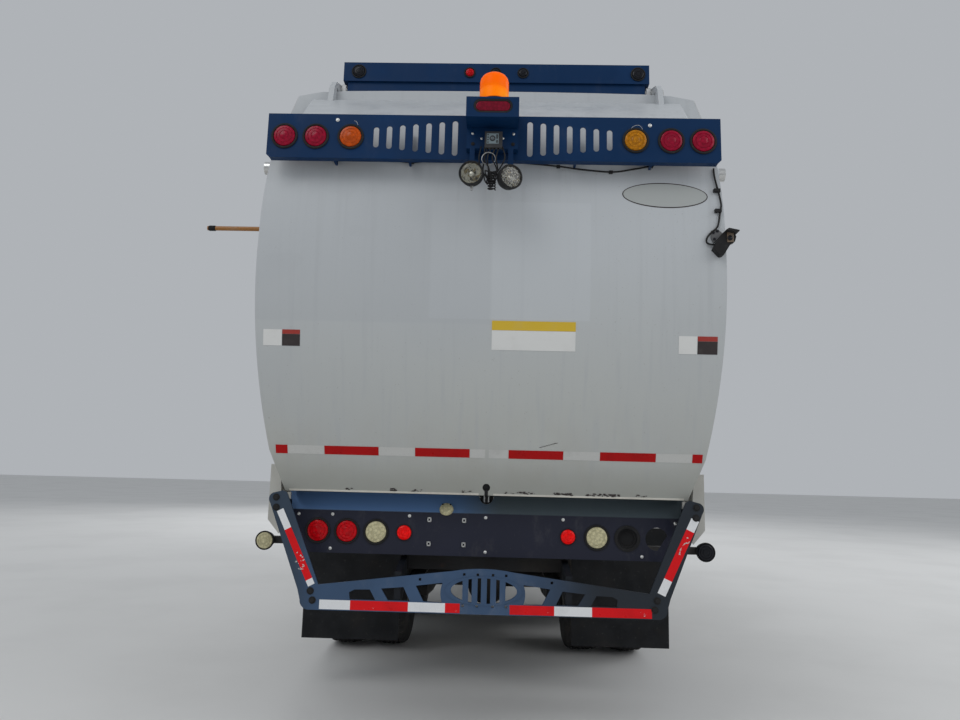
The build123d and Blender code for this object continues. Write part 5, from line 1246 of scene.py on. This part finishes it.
def make_scuffs():
    """Pale broken scuffs over the guard's tape, and the bright arcs scratched over the amber lamps."""
    form, arcs = Form(), Form()
    draw = random.Random(5)
    for mark in TAPE_MARKS:
        for p in smooth_line([(x, GUARD_Y - 0.0009, z) for x, z in mark], 5):
            if draw.random() < 0.75:
                w = draw.uniform(0.002, 0.0052)
                turn = draw.uniform(-0.9, 0.9)
                corners = [(p[0] + w * math.cos(turn + a), p[2] + w * k * math.sin(turn + a))
                           for a, k in ((0.0, 1.0), (1.3, 0.7), (2.7, 1.2), (4.2, 0.6))]
                flat_strip(form, GUARD_Y - 0.0005, corners, 0.0007)
    form.make("tape_scuffs", M_TAPE_WHITE, "tape_white", "chassis", smooth=0)
    for arc in BAR_ARCS:
        arcs.tube(smooth_line([(x, BAR_Y - 0.0002, z) for x, z in arc], 6), 0.0008, 6)
    arcs.make("bar_scratches", M_DECAL_WHITE, "tape_white", "tailgate")


make_scuffs()


PANEL_END = ((0.985, 1.1405), (0.842, 0.9255), (0.935, 0.9255), (1.03, 1.1405))
PANEL_END_SLOPE = ((-4.3292, 1.1395), (-4.325, 1.1395), (-4.2465, 1.2245), (-4.2505, 1.2275))


def make_shades():
    """Painted shade in the keyhole as a dark sheet inside the tailgate, the plate under the roof bar and the
    lamp panel's ends behind the guard.
    """
    # A dark sheet inside the tailgate behind the keyhole: painted shade, as the tailgate's inside is white.
    corners = ((1.24, 0.0088), (1.31, 0.0088), (1.31, 0.018), (1.24, 0.018))
    shade_outline = [(gate_y(z) + back, z) for z, back in corners]
    Form().prism(shade_outline, lambda u, v, d: (-0.035 + 0.08 * d, u, v)).make(
        "keyhole_shade", M_GROMMET, "dark_plastic", "tailgate", smooth=0)
    Form().block(-0.9, 0.9, -4.036, -4.03, 3.586, 3.684).make(
        "roof_bar_plate", M_NAVY, "charcoal", "chassis", smooth=0)
    ends = Form()
    for _, s in SIDES:
        ends.upright(PANEL_Y + 0.0006, PANEL_Y + 0.005, [(s * x, z) for x, z in PANEL_END])
        ends.prism(PANEL_END_SLOPE, lambda u, v, d: (s * (0.985 + 0.045 * d), u, v))
    ends.make("lamp_panel_ends", M_CHARCOAL, "charcoal", "chassis", smooth=0)


make_shades()


FLANGE_Y = (-4.1085, -4.1065)
# The left half of the flange's lines, as far as the middle
FLANGE_OUT = ((-1.196, 3.18), (-1.208, 3.436), (-1.17, 3.545), (-1.036, 3.571), (-0.9, 3.578), (0.0, 3.583))
FLANGE_IN = ((-1.08, 3.18), (-1.066, 3.436), (-1.055, 3.478), (-1.03, 3.49), (-0.9, 3.492), (0.0, 3.492))
SLOT_COUNT = 7
SLOT_FIRST_X = 0.183
SLOT_PITCH = 0.0645
SLOT_LONG = 0.182
SLOT_STEP = 0.0125
SLOT_CUT_HALF = 0.0173
SLOT_SEEN_HALF = 0.0135


def band_between(form, outer, inner, y0, y1, closed):
    """A flat band between two (x, z) lines of the same length, given a thickness."""
    n = len(outer)
    verts = [(u, y, v) for y in (y0, y1) for line in (outer, inner) for u, v in line]
    faces = []
    for k in range(n if closed else n - 1):
        m = (k + 1) % n
        faces += [(k, m, n + m, n + k), (2 * n + k, 3 * n + k, 3 * n + m, 2 * n + m),
                  (k, 2 * n + k, 2 * n + m, m), (n + k, n + m, 3 * n + m, 3 * n + k)]
    if not closed:
        faces += [(k, n + k, 3 * n + k, 2 * n + k) for k in (0, n - 1)]
    return form.add(verts, faces)


def make_gate_edges():
    """The pale flange that closes the tailgate's top corners, and the bar's narrower slots."""
    lines = [list(half) + [(-x, z) for x, z in half[-2::-1]] for half in (FLANGE_OUT, FLANGE_IN)]
    band_between(Form(), *lines, *FLANGE_Y, False).make(
        "gate_flange", M_GATE, "body_white", "tailgate", smooth=0)
    slots = Form()
    for _, s in SIDES:
        for k in range(SLOT_COUNT):
            x = s * (SLOT_FIRST_X + k * SLOT_PITCH)
            half = (SLOT_LONG - SLOT_STEP * k) / 2
            lines = [[(x + v, BAR_LAMP_Z + u) for u, v in stadium(half + grow, width)]
                     for grow, width in ((0.0003, SLOT_CUT_HALF), (-0.0005, SLOT_SEEN_HALF))]
            band_between(slots, *lines, BAR_Y + 0.0004, BAR_Y + 0.005, True)
    slots.make("bar_slot_edges", M_NAVY, "charcoal", "tailgate", smooth=30.0)


make_gate_edges()


# Seats: padded cushions on a pedestal, with sewn lines as parts of their half width and half depth
SEAT_CHANNELS = (-0.34, 0.34)
SEAT_BORDERS = (-0.62, 0.62)
SEAM_WIDTH = 0.035
CROWN = 0.22


def pad(name, centre, half, turn, replaces=()):
    """A crowned cushion with pulled-in sides and sewn channels, from a fine cube."""
    n = 14
    verts = []
    index = {}
    faces = []

    def point(u, v, w):
        key = (round(u, 5), round(v, 5), round(w, 5))
        if key not in index:
            index[key] = len(verts)
            edge = (1 - 0.1 * v * v * w * w, 1 - 0.1 * u * u * w * w, 1 - 0.08 * (u * u + v * v))
            lift = 1 + CROWN * (1 - u * u) * (1 - v * v) * (1 if w > 0 else 0.3)
            groove = 0.0
            if w > 0.99:
                for at, seams, depth in ((u, SEAT_CHANNELS, 0.01), (v, SEAT_BORDERS, 0.009)):
                    for seam in seams:
                        groove += depth * math.exp(-((at - seam) / SEAM_WIDTH) ** 2)
            p = Vector((half[0] * u * edge[0] * (1 - 0.06 * abs(v * w) ** 3), half[1] * v * edge[1],
                        half[2] * w * edge[2] * lift - groove))
            verts.append(Vector(centre) + turn @ p)
        return index[key]

    ticks = [math.sin(math.pi / 2 * (2 * k / n - 1)) for k in range(n + 1)]
    for axis in range(3):
        for side in (-1.0, 1.0):
            for i in range(n):
                for j in range(n):
                    quad = []
                    for a, b in ((i, j), (i + 1, j), (i + 1, j + 1), (i, j + 1)):
                        c = [ticks[a], ticks[b]]
                        c.insert(axis, side)
                        quad.append(point(*c))
                    faces.append(tuple(quad))
    obj = Form().add(verts, faces).make(name, M_VINYL, "seat_vinyl", "cab", replaces, smooth=60.0)
    mod = obj.modifiers.new("round", "SUBSURF")
    mod.levels = 1
    mod.render_levels = 1


SEAT_X = 0.72


def make_seats():
    flat = Matrix.Identity(3)
    lean = Matrix.Rotation(math.radians(-10.0), 3, "X") @ Matrix.Rotation(math.radians(90.0), 3, "X")
    for name, s in SIDES:
        x = s * SEAT_X
        pad(f"seat_cushion_{name}", (x, 3.69, 1.492), (0.235, 0.262, 0.056), flat, ("seats",))
        pad(f"seat_back_{name}", (x, 3.352, 1.872), (0.225, 0.318, 0.058), lean)
        base = Form()
        base.block(x - 0.2, x + 0.2, 3.48, 3.92, 1.25, 1.29)
        for k in range(7):
            w = 0.165 if k % 2 else 0.178
            base.block(x - w, x + w, 3.7 - w, 3.7 + w, 1.29 + 0.016 * k, 1.306 + 0.016 * k)
        base.block(x - 0.205, x + 0.205, 3.48, 3.93, 1.402, 1.428)
        for k in (-1, 1):
            base.block(x + k * 0.228 - 0.012, x + k * 0.228 + 0.012, 3.5, 3.82, 1.418, 1.446)
        base.make(f"seat_base_{name}", M_PLASTIC, "dark_plastic", "cab", ("seats",), bevel=0.004)


make_seats()


# Cab fittings: each block of a door handle is from near to far off the door's face, then y and z
DOOR_FACE_X = 1.1505
DOOR_HANDLE = ((0.0, 0.012, 4.285, 4.335, 1.18, 1.215), (0.008, 0.022, 4.27, 4.42, 1.19, 1.206),
               (0.0, 0.02, 4.405, 4.425, 1.188, 1.208))
MIRROR_X = 1.4
MIRROR_HALF_W = 0.083
MIRROR_ZS = ((1.712, 2.068), (1.532, 1.668))
WIPER_XS = (-0.62, 0.1)
MARKER_XS = (-0.6, -0.16, 0.0, 0.16, 0.6)


def make_cab_fittings():
    """Mirror glass, door handles, wipers and the roof's marker lamps."""
    glass, wipers, markers = Form(), Form(), Form()
    for s in (-1, 1):
        for z0, z1 in MIRROR_ZS:
            glass.block(s * MIRROR_X - MIRROR_HALF_W, s * MIRROR_X + MIRROR_HALF_W, 4.7335, 4.739, z0, z1)
    glass.make("mirror_glass", M_MIRROR, "bright_steel", "cab", bevel=0.002)
    for name, s in SIDES:
        form = Form()
        for near, far, y0, y1, z0, z1 in DOOR_HANDLE:
            x0, x1 = sorted((s * (DOOR_FACE_X + near), s * (DOOR_FACE_X + far)))
            form.block(x0, x1, y0, y1, z0, z1)
        form.make(f"door_handle_{name}", M_PLASTIC, "dark_plastic", f"door_{name}", bevel=0.002)
    for x in WIPER_XS:
        wipers.tube(smooth_line([(x, 4.912, 1.42), (x + 0.06, 4.918, 1.47), (x + 0.4, 4.893, 1.78)]), 0.008)
        wipers.tube([(x + 0.16, 4.906, 1.56), (x + 0.62, 4.868, 1.99)], 0.007)
        cap = ((0.0, 0.022), (0.02, 0.02), (0.024, 0.0))
        wipers.lathe((x, 4.905, 1.41), (0, 1, 0), cap, 20)
    wipers.make("wipers", M_PLASTIC, "dark_plastic", "cab")
    for x in MARKER_XS:
        y = 4.52 if abs(x) < 0.5 else 4.505
        fall = 0.012 * abs(x) / 0.6
        markers.block(x - 0.045, x + 0.045, y - 0.03, y + 0.03, 2.73 - fall, 2.752 - fall)
    markers.make("cab_markers", M_AMBER, "lens_amber", "cab", bevel=0.008)


make_cab_fittings()
